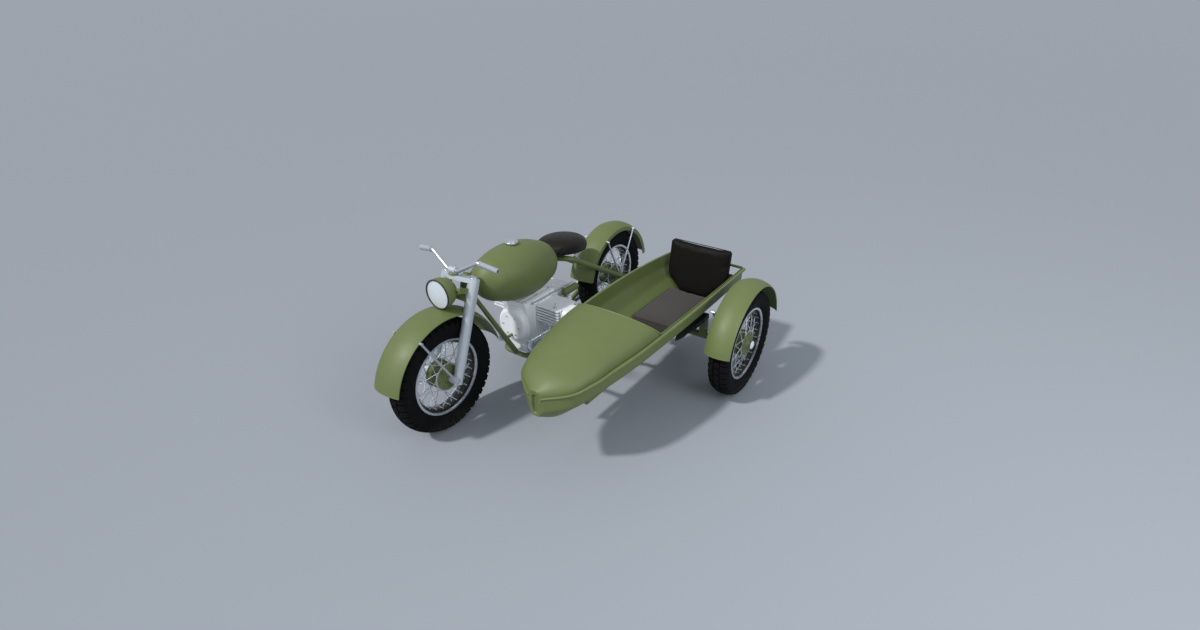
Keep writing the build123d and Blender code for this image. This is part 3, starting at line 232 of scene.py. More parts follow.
def tyre_rubber():
    """Matt black rubber, a little greyer with dust where it meets the road."""
    finish = Finish("tyre_rubber", (0.0035, 0.0035, 0.0040), 0.85, Specular_IOR_Level=0.14)
    finish.tint(finish.band(finish.noise(24.0, 5.0), 0.45, 0.75, 0.0, 0.5), (0.008, 0.008, 0.0075))
    near_road = finish.band(finish.height(), 0.0, 0.10, 0.35, 0.0)
    dust = finish.times(near_road, finish.band(finish.noise(40.0, 6.0), 0.3, 0.6))
    finish.tint(dust, (0.085, 0.078, 0.066))
    finish.rough(finish.band(finish.noise(120.0, 4.0), 0.3, 0.7, 0.78, 0.92))
    finish.bump(finish.noise(700.0, 3.0), 0.0004, 0.5)
    return finish.material


def grip_rubber():
    """Pale grey rubber, softly marked by hands."""
    finish = Finish("grip_rubber", (0.40, 0.44, 0.49), 0.60)
    finish.tint(finish.band(finish.noise(60.0, 5.0), 0.45, 0.8, 0.0, 0.4), (0.27, 0.29, 0.32))
    finish.bump(finish.noise(800.0, 3.0), 0.0003, 0.5)
    return finish.material


def hide(name, colour, worn, rough_low, rough_high, gloss):
    """Dark hide: cells of grain from a crackle pattern, creases of a larger size, rubbed tones."""
    finish = Finish(name, colour, (rough_low + rough_high) / 2, Specular_IOR_Level=gloss)
    cells = finish.node("ShaderNodeTexVoronoi", feature="DISTANCE_TO_EDGE")
    cells.inputs["Scale"].default_value = 420.0
    finish.tree.links.new(finish.place, cells.inputs["Vector"])
    grain = finish.band(cells.outputs["Distance"], 0.0, 0.22)
    finish.tint(finish.band(finish.noise(11.0, 4.0), 0.42, 0.75, 0.0, 0.6), worn)
    finish.rough(finish.band(finish.noise(26.0, 5.0), 0.3, 0.7, rough_low, rough_high))
    finish.bump(finish.noise(55.0, 4.0), 0.0012, 0.35)
    finish.bump(grain, 0.0003, 0.5)
    return finish.material


def seat_cloth():
    """Grey-brown cloth: two sets of fine threads crossing, over slow changes of tone."""
    finish = Finish("seat_cloth", (0.042, 0.038, 0.036), 0.86, Sheen_Weight=0.1)
    finish.tint(finish.band(finish.noise(8.0, 4.0), 0.4, 0.75, 0.0, 0.5), (0.053, 0.048, 0.045))
    threads = []
    for direction in ("X", "Y"):
        wave = finish.node("ShaderNodeTexWave", bands_direction=direction)
        wave.inputs["Scale"].default_value = 150.0
        wave.inputs["Distortion"].default_value = 0.6
        finish.tree.links.new(finish.place, wave.inputs["Vector"])
        threads.append(wave.outputs["Fac"])
    weave = finish.times(threads[0], threads[1])
    finish.tint(finish.band(weave, 0.3, 1.0, 0.0, 0.35), (0.062, 0.056, 0.053))
    finish.bump(weave, 0.0005, 0.6)
    finish.bump(finish.noise(45.0, 4.0), 0.0010, 0.3)
    return finish.material


def black_steel():
    """Black enamelled spring steel with dusty, slightly rusted patches."""
    finish = Finish("black_steel", (0.016, 0.016, 0.017), 0.45)
    finish.tint(finish.band(finish.noise(35.0, 5.0), 0.58, 0.75, 0.0, 0.5), (0.050, 0.043, 0.036))
    finish.rough(finish.band(finish.noise(50.0, 5.0), 0.3, 0.7, 0.35, 0.62))
    finish.bump(finish.noise(500.0, 3.0), 0.0003, 0.4)
    return finish.material


def lens_glass():
    """Clear glass with upright flutes in its face."""
    finish = Finish("lens_glass", (0.80, 0.86, 0.92), 0.16, Alpha=0.82, IOR=1.45, Specular_IOR_Level=0.6)
    wave = finish.node("ShaderNodeTexWave", bands_direction="Y")
    wave.inputs["Scale"].default_value = 26.0
    finish.tree.links.new(finish.place, wave.inputs["Vector"])
    finish.tint(finish.band(wave.outputs["Fac"], 0.0, 1.0, 0.0, 0.25), (0.62, 0.70, 0.78))
    finish.bump(wave.outputs["Fac"], 0.0015, 0.6)
    return finish.material


def dark_trim_and_painted_shade():
    """Plain dark paint for bezels; in gaps, on the backs of small parts and over the rims' wells it is
    painted shade.
    """
    finish = Finish("dark_trim", (0.020, 0.021, 0.020), 0.5)
    finish.tint(finish.band(finish.noise(60.0, 4.0), 0.5, 0.8, 0.0, 0.4), (0.035, 0.035, 0.033))
    finish.bump(finish.noise(500.0, 2.0), 0.0002, 0.3)
    return finish.material


finishes = {
    "green_paint": olive_paint(),
    "worn_olive": worn_olive(),
    "silver_paint": silver_paint(),
    "bright_metal": bright_metal(),
    "cast_alloy": cast_alloy(),
    "tyre_rubber": tyre_rubber(),
    "grip_rubber": grip_rubber(),
    "seat_leather": hide("saddle_hide", (0.011, 0.0090, 0.0075), (0.019, 0.0155, 0.0128), 0.38, 0.54, 0.26),
    "black_vinyl": hide("backrest_hide", (0.0045, 0.0039, 0.0034), (0.008, 0.0070, 0.0060), 0.54, 0.74, 0.18),
    "cushion_fabric": seat_cloth(),
    "black_steel": black_steel(),
    "lens_glass": lens_glass(),
    # dark trim: the lamp's bezel, and painted shade over the rims' wells
    "dark_trim": dark_trim_and_painted_shade(),
}
slot_of = {piece["node"]: piece["material_slot"] for piece in frame["record"]["subparts"]}
for node_name, node_object in frame["nodes"].items():
    node_object.data.materials.clear()
    node_object.data.materials.append(finishes[slot_of[node_name]])


# ---------------------------------------------------------------- grids into meshes
def faces_of(rows, columns, wrap_rows, wrap_columns, start):
    """The quads of a grid of points, each joining a point with its neighbours in the next row and column."""
    index = np.arange(rows * columns).reshape(rows, columns) + start
    if wrap_rows:
        index = np.vstack([index, index[:1]])
    if wrap_columns:
        index = np.hstack([index, index[:, :1]])
    quads = np.stack([index[:-1, :-1], index[1:, :-1], index[1:, 1:], index[:-1, 1:]], axis=-1)
    return quads.reshape(-1, 4)


def piece(name, grids, body, finish, slot=None, replaces=(), sharp=40.0):
    """One object from several closed grids. Each grid is (points, wrap rows, wrap columns); a row or column
    that shrinks to one point closes a pole. Edges that turn by more than the sharp angle stay crisp."""
    points, quads, start = [], [], 0
    for array, wrap_rows, wrap_columns in grids:
        rows, columns = array.shape[:2]
        points.append(array.reshape(-1, 3))
        quads.append(faces_of(rows, columns, wrap_rows, wrap_columns, start))
        start += rows * columns
    mesh = bpy.data.meshes.new(name)
    mesh.from_pydata(np.vstack(points), [], np.vstack(quads))
    work = bmesh.new()
    work.from_mesh(mesh)
    bmesh.ops.remove_doubles(work, verts=work.verts, dist=2e-6)
    bmesh.ops.dissolve_degenerate(work, edges=work.edges, dist=1e-7)
    bmesh.ops.recalc_face_normals(work, faces=work.faces)
    work.to_mesh(mesh)
    work.free()
    return dressed(name, mesh, body, finish, replaces, sharp)


def dressed(name, mesh, body, finish, replaces=(), sharp=40.0):
    """Link a mesh as a piece that rides on a body, with its finish and the nodes it stands for."""
    mesh.materials.clear()
    mesh.materials.append(finishes[finish])
    mesh.polygons.foreach_set("use_smooth", np.ones(len(mesh.polygons), bool))
    mesh.set_sharp_from_angle(angle=np.radians(sharp))
    made = bpy.data.objects.new(name, mesh)
    bpy.context.scene.collection.objects.link(made)
    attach(made, body)
    if replaces:
        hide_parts(*replaces)
    return made


def ring(count):
    """So many angles spread evenly round a circle."""
    return np.arange(count) * TURN / count


def across_of(direction):
    """Two unit vectors square to a direction and to each other."""
    direction = unit(direction)
    helper = np.where(np.abs(direction[..., 2:3]) > 0.9, [1.0, 0.0, 0.0], [0.0, 0.0, 1.0])
    side = unit(np.cross(helper, direction))
    return side, np.cross(direction, side)


def lathe(profile, centre, axis, sides=32):
    """A profile of (along, radius) turned about an axis: centre + along * axis + radius * circle(angle)."""
    profile = np.asarray(profile, float)
    axis = unit(axis)
    side, up = across_of(axis)
    angle = ring(sides)[None, :, None]
    circle = np.cos(angle) * side + np.sin(angle) * up
    along = profile[:, 0, None, None] * axis
    return np.asarray(centre, float) + along + profile[:, 1, None, None] * circle, False, True


def closed_lathe(profile, centre, axis, sides=32):
    """As lathe, for a profile that is itself a closed outline, such as a ring's section."""
    points, _, wrap = lathe(profile, centre, axis, sides)
    return points, True, wrap


def tube(path, radius, sides=12, ends=True):
    """A round section carried along a path: path + radius * (cos * side + sin * up), where side and up are
    square to the path's local direction, and each end closes to its middle."""
    path = np.asarray(path, float)
    radius = np.broadcast_to(np.asarray(radius, float), len(path))[:, None, None]
    side, up = across_of(np.gradient(path, axis=0))
    angle = ring(sides)[None, :, None]
    wall = path[:, None] + radius * (np.cos(angle) * side[:, None] + np.sin(angle) * up[:, None])
    if ends:
        first = np.repeat(path[None, :1], sides, axis=1)
        last = np.repeat(path[None, -1:], sides, axis=1)
        wall = np.concatenate([first, wall, last])
    return wall, False, True


def pill(start, end, radius, round_share=0.25, sides=24):
    """A short round bar whose rims are turned over by a share of its radius."""
    start, end = np.asarray(start, float), np.asarray(end, float)
    length = np.linalg.norm(end - start)
    turn = min(radius * round_share, length / 2.2)
    bend = np.linspace(0, np.pi / 2, 5)
    outer = radius - turn + turn * np.sin(bend)
    lead = turn - turn * np.cos(bend)
    along = np.concatenate([[0], lead, (length - lead)[::-1], [length]])
    out = np.concatenate([[0], outer, outer[::-1], [0]])
    return lathe(np.stack([along, out], axis=-1), start, end - start, sides)


def hexagon(centre, axis, across_flats, height):
    """A hexagon nut: a six-sided bar with its corners turned down and a domed top."""
    half = across_flats / np.sqrt(3)
    profile = [(0, 0), (0, half), (height * 0.8, half), (height, half * 0.86), (height, half * 0.4),
               (height * 1.12, 0)]
    return lathe(profile, centre, axis, 6)


def block(centre, size, round_by=0.004, axes=None):
    """A box whose edges and rims are turned over by a quarter round."""
    half = np.asarray(size, float) / 2
    turn = min(round_by, half.min() * 0.9)
    bend = np.linspace(0, np.pi / 2, 4)
    inset = turn - turn * np.sin(bend)
    lift = turn - turn * np.cos(bend)
    levels = np.concatenate([-half[2] + lift, (half[2] - lift)[::-1]])
    shrink = np.concatenate([inset, inset[::-1]])
    corner = np.concatenate([bend + quarter * np.pi / 2 for quarter in range(4)])
    sign = np.repeat([[1, 1], [-1, 1], [-1, -1], [1, -1]], 4, axis=0)
    rows = [np.zeros((16, 3)) + [0, 0, -half[2]]]
    for level, less in zip(levels, shrink):
        reach = turn - less
        x = sign[:, 0] * (half[0] - turn) + reach * np.cos(corner)
        y = sign[:, 1] * (half[1] - turn) + reach * np.sin(corner)
        rows.append(np.stack([x, y, np.full(16, level)], axis=-1))
    rows.append(np.zeros((16, 3)) + [0, 0, half[2]])
    local = np.array(rows)
    axes = np.eye(3) if axes is None else np.asarray(axes, float)
    return np.asarray(centre, float) + local @ axes, False, True


def smooth_rows(table, places):
    """Each column of a table follows a cubic through its rows: the slope at a row is that between its two
    neighbours, and between rows the cubic meets both values and both slopes."""
    table = np.asarray(table, float)
    x = table[:, 0]
    slopes = np.gradient(table[:, 1:], x, axis=0)
    row = np.clip(np.searchsorted(x, places, side="right") - 1, 0, len(x) - 2)
    width = (x[row + 1] - x[row])[:, None]
    t = ((places - x[row])[:, None]) / width
    near, far = table[row, 1:], table[row + 1, 1:]
    return (
        near * (1 + 2 * t) * (1 - t) ** 2
        + slopes[row] * width * t * (1 - t) ** 2
        + far * t**2 * (3 - 2 * t)
        + slopes[row + 1] * width * t**2 * (t - 1)
    )


def smooth_path(points, count):
    """A path through a few points, by the same cubic against its length."""
    points = np.asarray(points, float)
    length = np.concatenate([[0], np.cumsum(np.linalg.norm(np.diff(points, axis=0), axis=1))])
    return smooth_rows(np.column_stack([length, points]), np.linspace(0, length[-1], count))


# ---------------------------------------------------------------- tyres
BLOCKS = 44             # tread blocks round a tyre
GROOVE = 0.0110         # depth of the tread
GROOVE_SHARE = 0.28     # share of a pitch that a cross groove takes
CARCASS = [
    # across, radius: the outer skin from bead to crown on one side
    (0.0400, 0.2042), (0.0402, 0.2125), (0.0440, 0.2200), (0.0500, 0.2310), (0.0560, 0.2450),
    (0.0586, 0.2580), (0.0590, 0.2660), (0.0582, 0.2760), (0.0560, 0.2870),
]
LINING = [
    # across, radius: the inside of the carcass from bead to bead
    (-0.0290, 0.2042), (-0.0430, 0.2500), (-0.0380, 0.2890), (0.0, 0.2960), (0.0380, 0.2890),
    (0.0430, 0.2500), (0.0290, 0.2042),
]
# where the tread's lines run round the tyre, on one side of its middle
TREAD_LINES = [0.0552, 0.0510, 0.0480, 0.0420, 0.0340, 0.0240, 0.0205, 0.0197, 0.0155, 0.0147, 0.0110, 0.0050]
MIDDLE_ROW = 0.0151     # outer edge of the middle blocks
ROUND_GROOVE = 0.0201   # outer edge of the groove beside them
SHOULDER_R = 0.268      # cross grooves run out here, down the tyre's side
FADE = 0.012            # over which a groove gets to its full depth there
WALL_SLOPE = 0.012      # share of a pitch that a groove's wall takes


def tread_radius(across):
    """The tyre's crown falls by 12 mm at 48 mm from the middle, as a power a little over the square."""
    return TYRE_R - 0.012 * (np.abs(across) / 0.048) ** 2.2


def tyre(name, centre, body, node):
    """Radius over (angle, across): the crown's curve, less a groove's depth wherever an angle or an across
    place falls in a cross groove or one of the two grooves round the tyre. The middle row of blocks is
    half a pitch out of step with the outer rows, and outer blocks run over the shoulder."""
    side = np.array(CARCASS)
    across = np.concatenate([side[:, 0], TREAD_LINES, [0.0], -np.array(TREAD_LINES[::-1]), -side[::-1, 0]])
    crown = tread_radius(across)
    radius = np.concatenate([side[:, 1], crown[len(side):-len(side)], side[::-1, 1]])
    half, edge = GROOVE_SHARE / 2, WALL_SLOPE
    cuts = np.array([-half - edge, -half, 0.0, half, half + edge])
    phases = np.concatenate([cuts, [0.30], 0.5 + cuts, [0.72]])
    phase = (np.arange(BLOCKS)[:, None] + phases[None, :]).ravel()
    outer_cut = np.abs(np.mod(phase + 0.5, 1.0) - 0.5) <= half + EPSILON
    middle_cut = np.abs(np.mod(phase, 1.0) - 0.5) <= half + EPSILON
    size = np.abs(across)
    in_middle = size < MIDDLE_ROW
    in_outer = (size >= ROUND_GROOVE) & (radius > SHOULDER_R)
    cut = (
        (middle_cut[:, None] & in_middle[None, :])
        | (outer_cut[:, None] & in_outer[None, :])
        | (~in_middle & (size < ROUND_GROOVE))[None, :]
    )
    fade = np.clip((radius - SHOULDER_R) / FADE, 0, 1)
    reach = radius[None, :] - cut * GROOVE * fade[None, :]
    inner_skin = np.array(LINING)
    reach = np.hstack([reach, np.tile(inner_skin[:, 1], (len(phase), 1))])
    across = np.concatenate([across, inner_skin[:, 0]])
    angle = phase[:, None] / BLOCKS * TURN
    across = np.broadcast_to(across, reach.shape)
    skin = centre + np.stack([reach * np.cos(angle), across, reach * np.sin(angle)], axis=-1)
    return piece(name, [(skin, True, True)], body, "tyre_rubber", replaces=(node,), sharp=35.0)


WHEELS = [
    # name, hub centre, body
    ("front", FRONT_HUB, "front_wheel"),
    ("rear", REAR_HUB, "rear_wheel"),
    ("sidecar", SIDE_HUB, "sidecar_wheel"),
]
LEFT = np.array([0.0, 1.0, 0.0])                        # also along every axle
UP = np.array([0.0, 0.0, 1.0])
FRONT = np.array([1.0, 0.0, 0.0])
SIDES = (-1, 1)
SPOKES = 40
NIPPLE_RIM = 0.1865
NIPPLE_Y = 0.0075       # nipples stand this far to either side of the rim's middle
RUNGS = 24
RUNG_RIM = 0.1842
RUNG_HALF = 0.031
HUB_BOLTS = 8
HUB_BOLT_CIRCLE = 0.0575
HUB_FACE = 0.0462


def spoke(angle):
    """The unit vector out from an axle at an angle from the front, turning up."""
    return np.array([np.cos(angle), 0.0, np.sin(angle)])


def nipples(name, centre, body):
    """Spoke nipples standing out of the rim's well, one for each spoke, on alternate sides of its middle."""
    profile = [(0, 0), (0, 0.0044), (-0.002, 0.0044), (-0.003, 0.0032), (-0.017, 0.0029), (-0.019, 0.0)]
    grids = []
    for number, angle in enumerate(ring(SPOKES)):
        lean = LEFT * (NIPPLE_Y if number % 2 else -NIPPLE_Y)
        grids.append(lathe(profile, centre + spoke(angle) * NIPPLE_RIM + lean, spoke(angle), 8))
    return piece(name, grids, body, "bright_metal")


def hub_trim(name, centre, body):
    """Rings of ribs round the hub's barrel, a bead at each flange and small bolts on its faces."""
    grids = []
    for along in np.linspace(-0.030, 0.030, 7):
        rib = [(-0.0016, 0.0695), (-0.0010, 0.0730), (0.0010, 0.0730), (0.0016, 0.0695)]
        grids.append(closed_lathe(rib, centre + LEFT * along, LEFT, 64))
    for side in SIDES:
        bead = [(-0.001, 0.033), (-0.001, 0.046), (0.0030, 0.0445), (0.0030, 0.0345)]
        grids.append(closed_lathe(bead, centre + LEFT * side * HUB_FACE, LEFT * side, 48))
        for angle in ring(HUB_BOLTS):
            spot = centre + HUB_BOLT_CIRCLE * spoke(angle) + LEFT * side * (HUB_FACE - 0.0005)
            grids.append(hexagon(spot, LEFT * side, 0.009, 0.0035))
    return piece(name, grids, body, "green_paint", sharp=30.0)


def rim_painted_shade(name, centre, body):
    """Painted shade: a dark sheet over the rim's inner face, down both steps and across its well, where shade
    falls inside the rim, with bright rungs laid straight across it."""
    steps = [(-0.0355, 0.1994), (-0.0222, 0.1994), (-0.0187, 0.1856)]
    face = steps + [(-across, out) for across, out in steps[::-1]]
    section = face + [(across, out - 0.0006) for across, out in face[::-1]]
    # painted shade: a dark sheet across the rim's well, where shade falls inside the rim
    inner_skin = closed_lathe(section, centre, LEFT, 96)
    piece(f"{name}_rim_painted_shade", [inner_skin], body, "dark_trim", slot="black_steel")
    rungs = []
    for angle in ring(RUNGS):
        foot = centre + RUNG_RIM * spoke(angle)
        rungs.append(pill(foot - LEFT * RUNG_HALF, foot + LEFT * RUNG_HALF, 0.0024, 0.4, 8))
    piece(f"{name}_rim_rungs", rungs, body, "bright_metal")


for wheel_name, wheel_centre, wheel_body in WHEELS:
    tyre(f"{wheel_name}_tread_tyre", wheel_centre, wheel_body, f"{wheel_name}_tyre")
    nipples(f"{wheel_name}_spoke_nipples", wheel_centre, wheel_body)
    hub_trim(f"{wheel_name}_hub_ribs", wheel_centre, wheel_body)
    rim_painted_shade(wheel_name, wheel_centre, wheel_body)

dome_turn = np.linspace(0, np.pi / 2, 12)
dome = [(0.0690, 0.0), (0.0690, 0.0245)]
dome += list(zip(0.0700 + 0.0085 * np.sin(dome_turn), 0.0245 * np.cos(dome_turn)))
piece("hub_dome", [lathe(dome, SIDE_HUB, LEFT, 40)], "root", "cast_alloy", replaces=("sidecar_hub_cap",))


# ---------------------------------------------------------------- sidecar hull
TAIL_X, NOSE_X = -0.085, 1.632
COWL_X = 0.950
COWL_Z = 0.582          # gunwale's height where the cowl starts
COWL_LEAN = np.radians(46.0)
TUB_WALL = 0.004
COWL_WALL = 0.003
BAND = 0.085            # upright part of the side, under the gunwale
BEAD_R = 0.010
BEAD_OUT = 0.009        # bead's middle stands this far out of the side, and this far under its edge:
BEAD_UNDER = 0.012
BEAD_FADE_X = 1.250     # from here to the nose the bead thins to half and draws in
TAIL_HALF, TAIL_Z = 0.238, 0.566
CROSS_R = 0.0085
HULL = [
    # x, gunwale half, gunwale z, knee half, knee z, floor half, floor z
    (-0.085, 0.238, 0.566, 0.152, 0.397, 0.090, 0.325),
    (0.100, 0.250, 0.577, 0.160, 0.395, 0.095, 0.325),
    (0.950, 0.250, 0.582, 0.160, 0.395, 0.095, 0.325),
    (1.150, 0.236, 0.573, 0.150, 0.392, 0.088, 0.326),
    (1.300, 0.212, 0.561, 0.132, 0.390, 0.076, 0.332),
    (1.450, 0.185, 0.545, 0.108, 0.388, 0.060, 0.342),
    (1.560, 0.131, 0.527, 0.074, 0.390, 0.040, 0.358),
    (1.632, 0.033, 0.511, 0.024, 0.408, 0.016, 0.396),
]
CREST = [
    # x, crest z
    (0.950, 0.692), (1.150, 0.684), (1.300, 0.662), (1.450, 0.624), (1.560, 0.580), (1.632, 0.532),
]
hull_x = np.unique(np.concatenate([np.linspace(TAIL_X, 1.40, 46), np.linspace(1.40, NOSE_X, 26)]))


def rounded_corners(outline, radii, steps=6):
    """Each corner of an outline becomes a quadratic curve between the points that lie the corner's radius
    before and after it, for every station at once. Ends stay as they are."""
    parts = [outline[:, :1]]
    t = np.linspace(0, 1, steps)[None, :, None]
    for corner, radius in zip(range(1, outline.shape[1] - 1), radii):
        here = outline[:, corner, None]
        before = outline[:, corner - 1, None] - here
        after = outline[:, corner + 1, None] - here
        reach = lambda side: here + side * np.minimum(
            radius / np.maximum(np.linalg.norm(side, axis=-1, keepdims=True), 1e-9), 0.45)
        start, end = reach(before), reach(after)
        parts.append(start * (1 - t) ** 2 + here * 2 * t * (1 - t) + end * t**2)
    parts.append(outline[:, -1:])
    return np.concatenate(parts, axis=1)


def hull_side(rows, inset):
    """Half of the hull's section at each station, from the gunwale down the band and the sloping side to the
    middle of the floor, drawn in by a wall's thickness."""
    rim_half, rim, knee_half, knee, floor_half, floor = rows.T
    outline = np.stack([
        np.stack([rim_half - inset, rim], axis=-1),
        np.stack([rim_half - inset, rim - BAND + inset * 0.4], axis=-1),
        np.stack([knee_half - inset * 0.8, knee + inset * 0.7], axis=-1),
        np.stack([floor_half - inset * 0.5, floor + inset], axis=-1),
        np.stack([np.zeros_like(rim), floor + inset], axis=-1),
    ], axis=1)
    return rounded_corners(outline, (0.016, 0.030, 0.022))


def hull_section(rows, inset):
    """The whole section from the left gunwale under the floor to the right gunwale."""
    left = hull_side(rows, inset)
    right = left[:, ::-1] * [-1, 1]
    return np.concatenate([left, right[:, 1:]], axis=1)


def in_tub(x, section):
    """Sections of (across, height) set at their stations along the tub."""
    x = np.broadcast_to(np.asarray(x)[:, None], section.shape[:2])
    return at(x, TUB_Y + section[..., 0], section[..., 1])


def tub_shell():
    """Outer and inner skins of the hull joined over both gunwales; the tail and nose edges close between."""
    rows = smooth_rows(HULL, hull_x)
    outer = in_tub(hull_x, hull_section(rows, 0.0))
    inner = in_tub(hull_x, hull_section(rows, TUB_WALL))
    loop = np.concatenate([outer, inner[:, ::-1]], axis=1)
    grids = [(loop, False, True)]
    for end in (0, -1):
        grids.append((np.stack([outer[end], inner[end]]), False, False))
    return piece("tub_shell", grids, "root", "green_paint", replaces=("sidecar_body",), sharp=50.0)


def plate_across(x, low, high, inset, thick):
    """A plate across the tub between two heights, as wide as the hull's inside at each height."""
    rows = smooth_rows(HULL, np.array([x]))
    side = hull_side(rows, inset)[0]
    heights = np.linspace(low, high, 14)
    order = np.argsort(side[:, 1])
    half = np.interp(heights, side[order, 1], side[order, 0])
    outline = np.stack([half, heights], axis=-1)
    across = np.linspace(-1, 1, 9)
    face = np.stack([outline[:, None, 0] * across, np.broadcast_to(outline[:, None, 1], (14, 9))], axis=-1)
    front = at(np.full((14, 9), x + thick), TUB_Y + face[..., 0], face[..., 1])
    back = at(np.full((14, 9), x), TUB_Y + face[..., 0], face[..., 1])
    loop = np.concatenate([front, back[:, ::-1]], axis=1)
    caps = [(np.stack([front[end], back[end]]), False, False) for end in (0, -1)]
    return [(loop, False, True), *caps]


def board_along(x0, x1, z, thick, inset):
    """A flat board along the tub at one height, as wide as the hull there."""
    rows = smooth_rows(HULL, np.linspace(x0, x1, 12))
    places = np.linspace(x0, x1, 12)
    halves = []
    for side in hull_side(rows, inset):
        order = np.argsort(side[:, 1])
        halves.append(np.interp(z, side[order, 1], side[order, 0]))
    across = np.linspace(-1, 1, 7)
    y = np.array(halves)[:, None] * across
    top = at(np.broadcast_to(places[:, None], y.shape), TUB_Y + y, np.full(y.shape, z))
    under = top - [0, 0, thick]
    loop = np.concatenate([top, under[:, ::-1]], axis=1)
    caps = [(np.stack([top[end], under[end]]), False, False) for end in (0, -1)]
    return [(loop, False, True), *caps]


def gunwale_path(side, x):
    """The bead's line along one gunwale."""
    rows = smooth_rows(HULL, x)
    out = np.interp(x, (BEAD_FADE_X, NOSE_X), (BEAD_OUT, 0.001))
    return at(x, TUB_Y + side * (rows[:, 0] + out), rows[:, 1] - BEAD_UNDER)


def tub_fittings():
    """Tail panel, seat board and floor ribs inside the hull."""
    grids = plate_across(TAIL_X, 0.326, 0.500, 0.002, 0.004)
    grids += board_along(0.040, 0.620, 0.348, 0.010, 0.003)
    for x in (0.66, 0.74, 0.82, 0.90):
        grids.append(block(at(x, TUB_Y, 0.333), (0.012, 0.15, 0.008), 0.003))
    return piece("tub_boards", grids, "root", "green_paint", sharp=35.0)


def gunwales():
    """The rolled beads along both gunwales, and the cross tube that joins them over the tail."""
    bead = np.interp(hull_x, (BEAD_FADE_X, NOSE_X), (BEAD_R, BEAD_R / 2))
    grids = [tube(gunwale_path(side, hull_x), bead, 16) for side in SIDES]
    cross = [(-TAIL_HALF, 0.0), (0.0, 0.002), (TAIL_HALF, 0.0)]
    line = [at(TAIL_X + BEAD_UNDER, TUB_Y + y, TAIL_Z + rise) for y, rise in cross]
    grids.append(tube(smooth_path(line, 12), CROSS_R, 14))
    return piece("gunwale_beads", grids, "root", "worn_olive", sharp=50.0)


def cowl_rise(x):
    """Gunwale half-width and height, and the crest's height, at these stations."""
    rim = smooth_rows(HULL, x)
    crest = smooth_rows(CREST, x)[:, 0]
    return rim[:, 0], rim[:, 1], crest


def cowl_skin(inset):
    """Height over (along, across): at each station an arch, across = half * sin(turn) and height = rim +
    rise * cos(turn) to a power a little under 1, which keeps its shoulders full. Each line starts on the
    plane of the leaning rear edge, found by stepping the start forward with its own height."""
    turn = np.linspace(-np.pi / 2, np.pi / 2, 49)
    share = np.cos(turn) ** 0.92
    start = np.full(turn.shape, COWL_X)
    for _ in range(12):
        half, rim, crest = cowl_rise(start)
        height = rim + (crest - rim) * share
        start = COWL_X + (height - COWL_Z) * np.tan(COWL_LEAN)
    along = np.linspace(0, 1, 44)[:, None] ** 0.9
    x = start[None, :] + (NOSE_X - start[None, :]) * along
    half, rim, crest = (column.reshape(x.shape) for column in cowl_rise(x.ravel()))
    y = (half - inset) * np.sin(turn)
    z = rim + (crest - rim - inset) * share
    return at(x, TUB_Y + y, z + 0.0004)


def cowl():
    """The cowl's outer and inner skins joined round all four edges, with a rolled bead on its rear edge."""
    outer, inner = cowl_skin(0.0), cowl_skin(COWL_WALL)
    loop = np.concatenate([outer, inner[:, ::-1]], axis=1)
    grids = [(loop, False, True)]
    for end in (0, -1):
        grids.append((np.stack([outer[end], inner[end]]), False, False))
    piece("cowl_shell", grids, "root", "green_paint", replaces=("sidecar_cowl",), sharp=50.0)
    rolled = (outer[0] + inner[0]) / 2
    piece("cowl_edge", [tube(rolled, 0.0048, 12)], "root", "worn_olive", sharp=50.0)


LIP_LINE = [
    # back from the nose, across, height
    (0.018, 0.050, 0.505), (0.005, 0.031, 0.490), (0.003, 0.024, 0.445), (0.006, 0.015, 0.403),
]
PROW_RINGS = [
    # share of the nose's outline, back from the nose
    (1.0, 0.004), (1.0, 0.0), (0.62, -0.001), (0.50, 0.002), (0.42, 0.010), (0.0, 0.012),
]


def prow():
    """The nose's end: lips along both sides of the stem, a recess between them and the chin below."""
    rows = smooth_rows(HULL, np.array([NOSE_X]))
    section = hull_section(rows, 0.0)[0]
    turn = np.linspace(-np.pi / 2, np.pi / 2, 13)[1:-1]
    arch = np.stack([rows[0, 0] * np.sin(turn), rows[0, 1] + 0.018 * np.cos(turn)], axis=-1)
    outline = np.concatenate([section, arch])
    centre = np.array([0.0, 0.455])
    rings = []
    for share, back in PROW_RINGS:
        flat = centre + (outline - centre) * [share, 0.45 + 0.55 * share if share else 0.0]
        rings.append(at(np.full(len(flat), NOSE_X - back), TUB_Y + flat[:, 0], flat[:, 1]))
    grids = [(np.array(rings), False, True)]
    piece("prow_end", grids, "root", "green_paint", sharp=60.0)
    lips = []
    for side in SIDES:
        line = [at(NOSE_X - back, TUB_Y + side * across, z) for back, across, z in LIP_LINE]
        lips.append(tube(smooth_path(line, 18), np.linspace(0.008, 0.0045, 18), 12))
    piece("prow_lips", lips, "root", "worn_olive", sharp=60.0)


tub_shell()
tub_fittings()
gunwales()
cowl()
prow()
# ---------------------------------------------------------------- places on the motorcycle
RAKE = np.radians(19.7)
DOWN = np.array([np.sin(RAKE), 0.0, -np.cos(RAKE)])     # along the fork legs
AHEAD = np.array([np.cos(RAKE), 0.0, np.sin(RAKE)])     # square to them
LEG_TOP = at(1.358, 0.0, 0.813)
LEG_Y = 0.094
LEG_LENGTH = 0.5590
AXLE_NUT_Y = 0.1132
STEM_TOP = LEG_TOP - AHEAD * 0.045
BAR = LEG_TOP + AHEAD * 0.058 - DOWN * 0.025
LENS = at(1.520, 0.0, 0.7655)
TANK = at(0.950, 0.0, 0.690)
TANK_TILT = np.radians(5.5)
TANK_HALF_LENGTH, TANK_R = 0.314, 0.164


def tilted(angle):
    """Ahead, left and up for a piece whose front is raised by an angle."""
    ahead = np.array([np.cos(angle), 0.0, np.sin(angle)])
    return np.array([ahead, LEFT, np.cross(ahead, LEFT)])


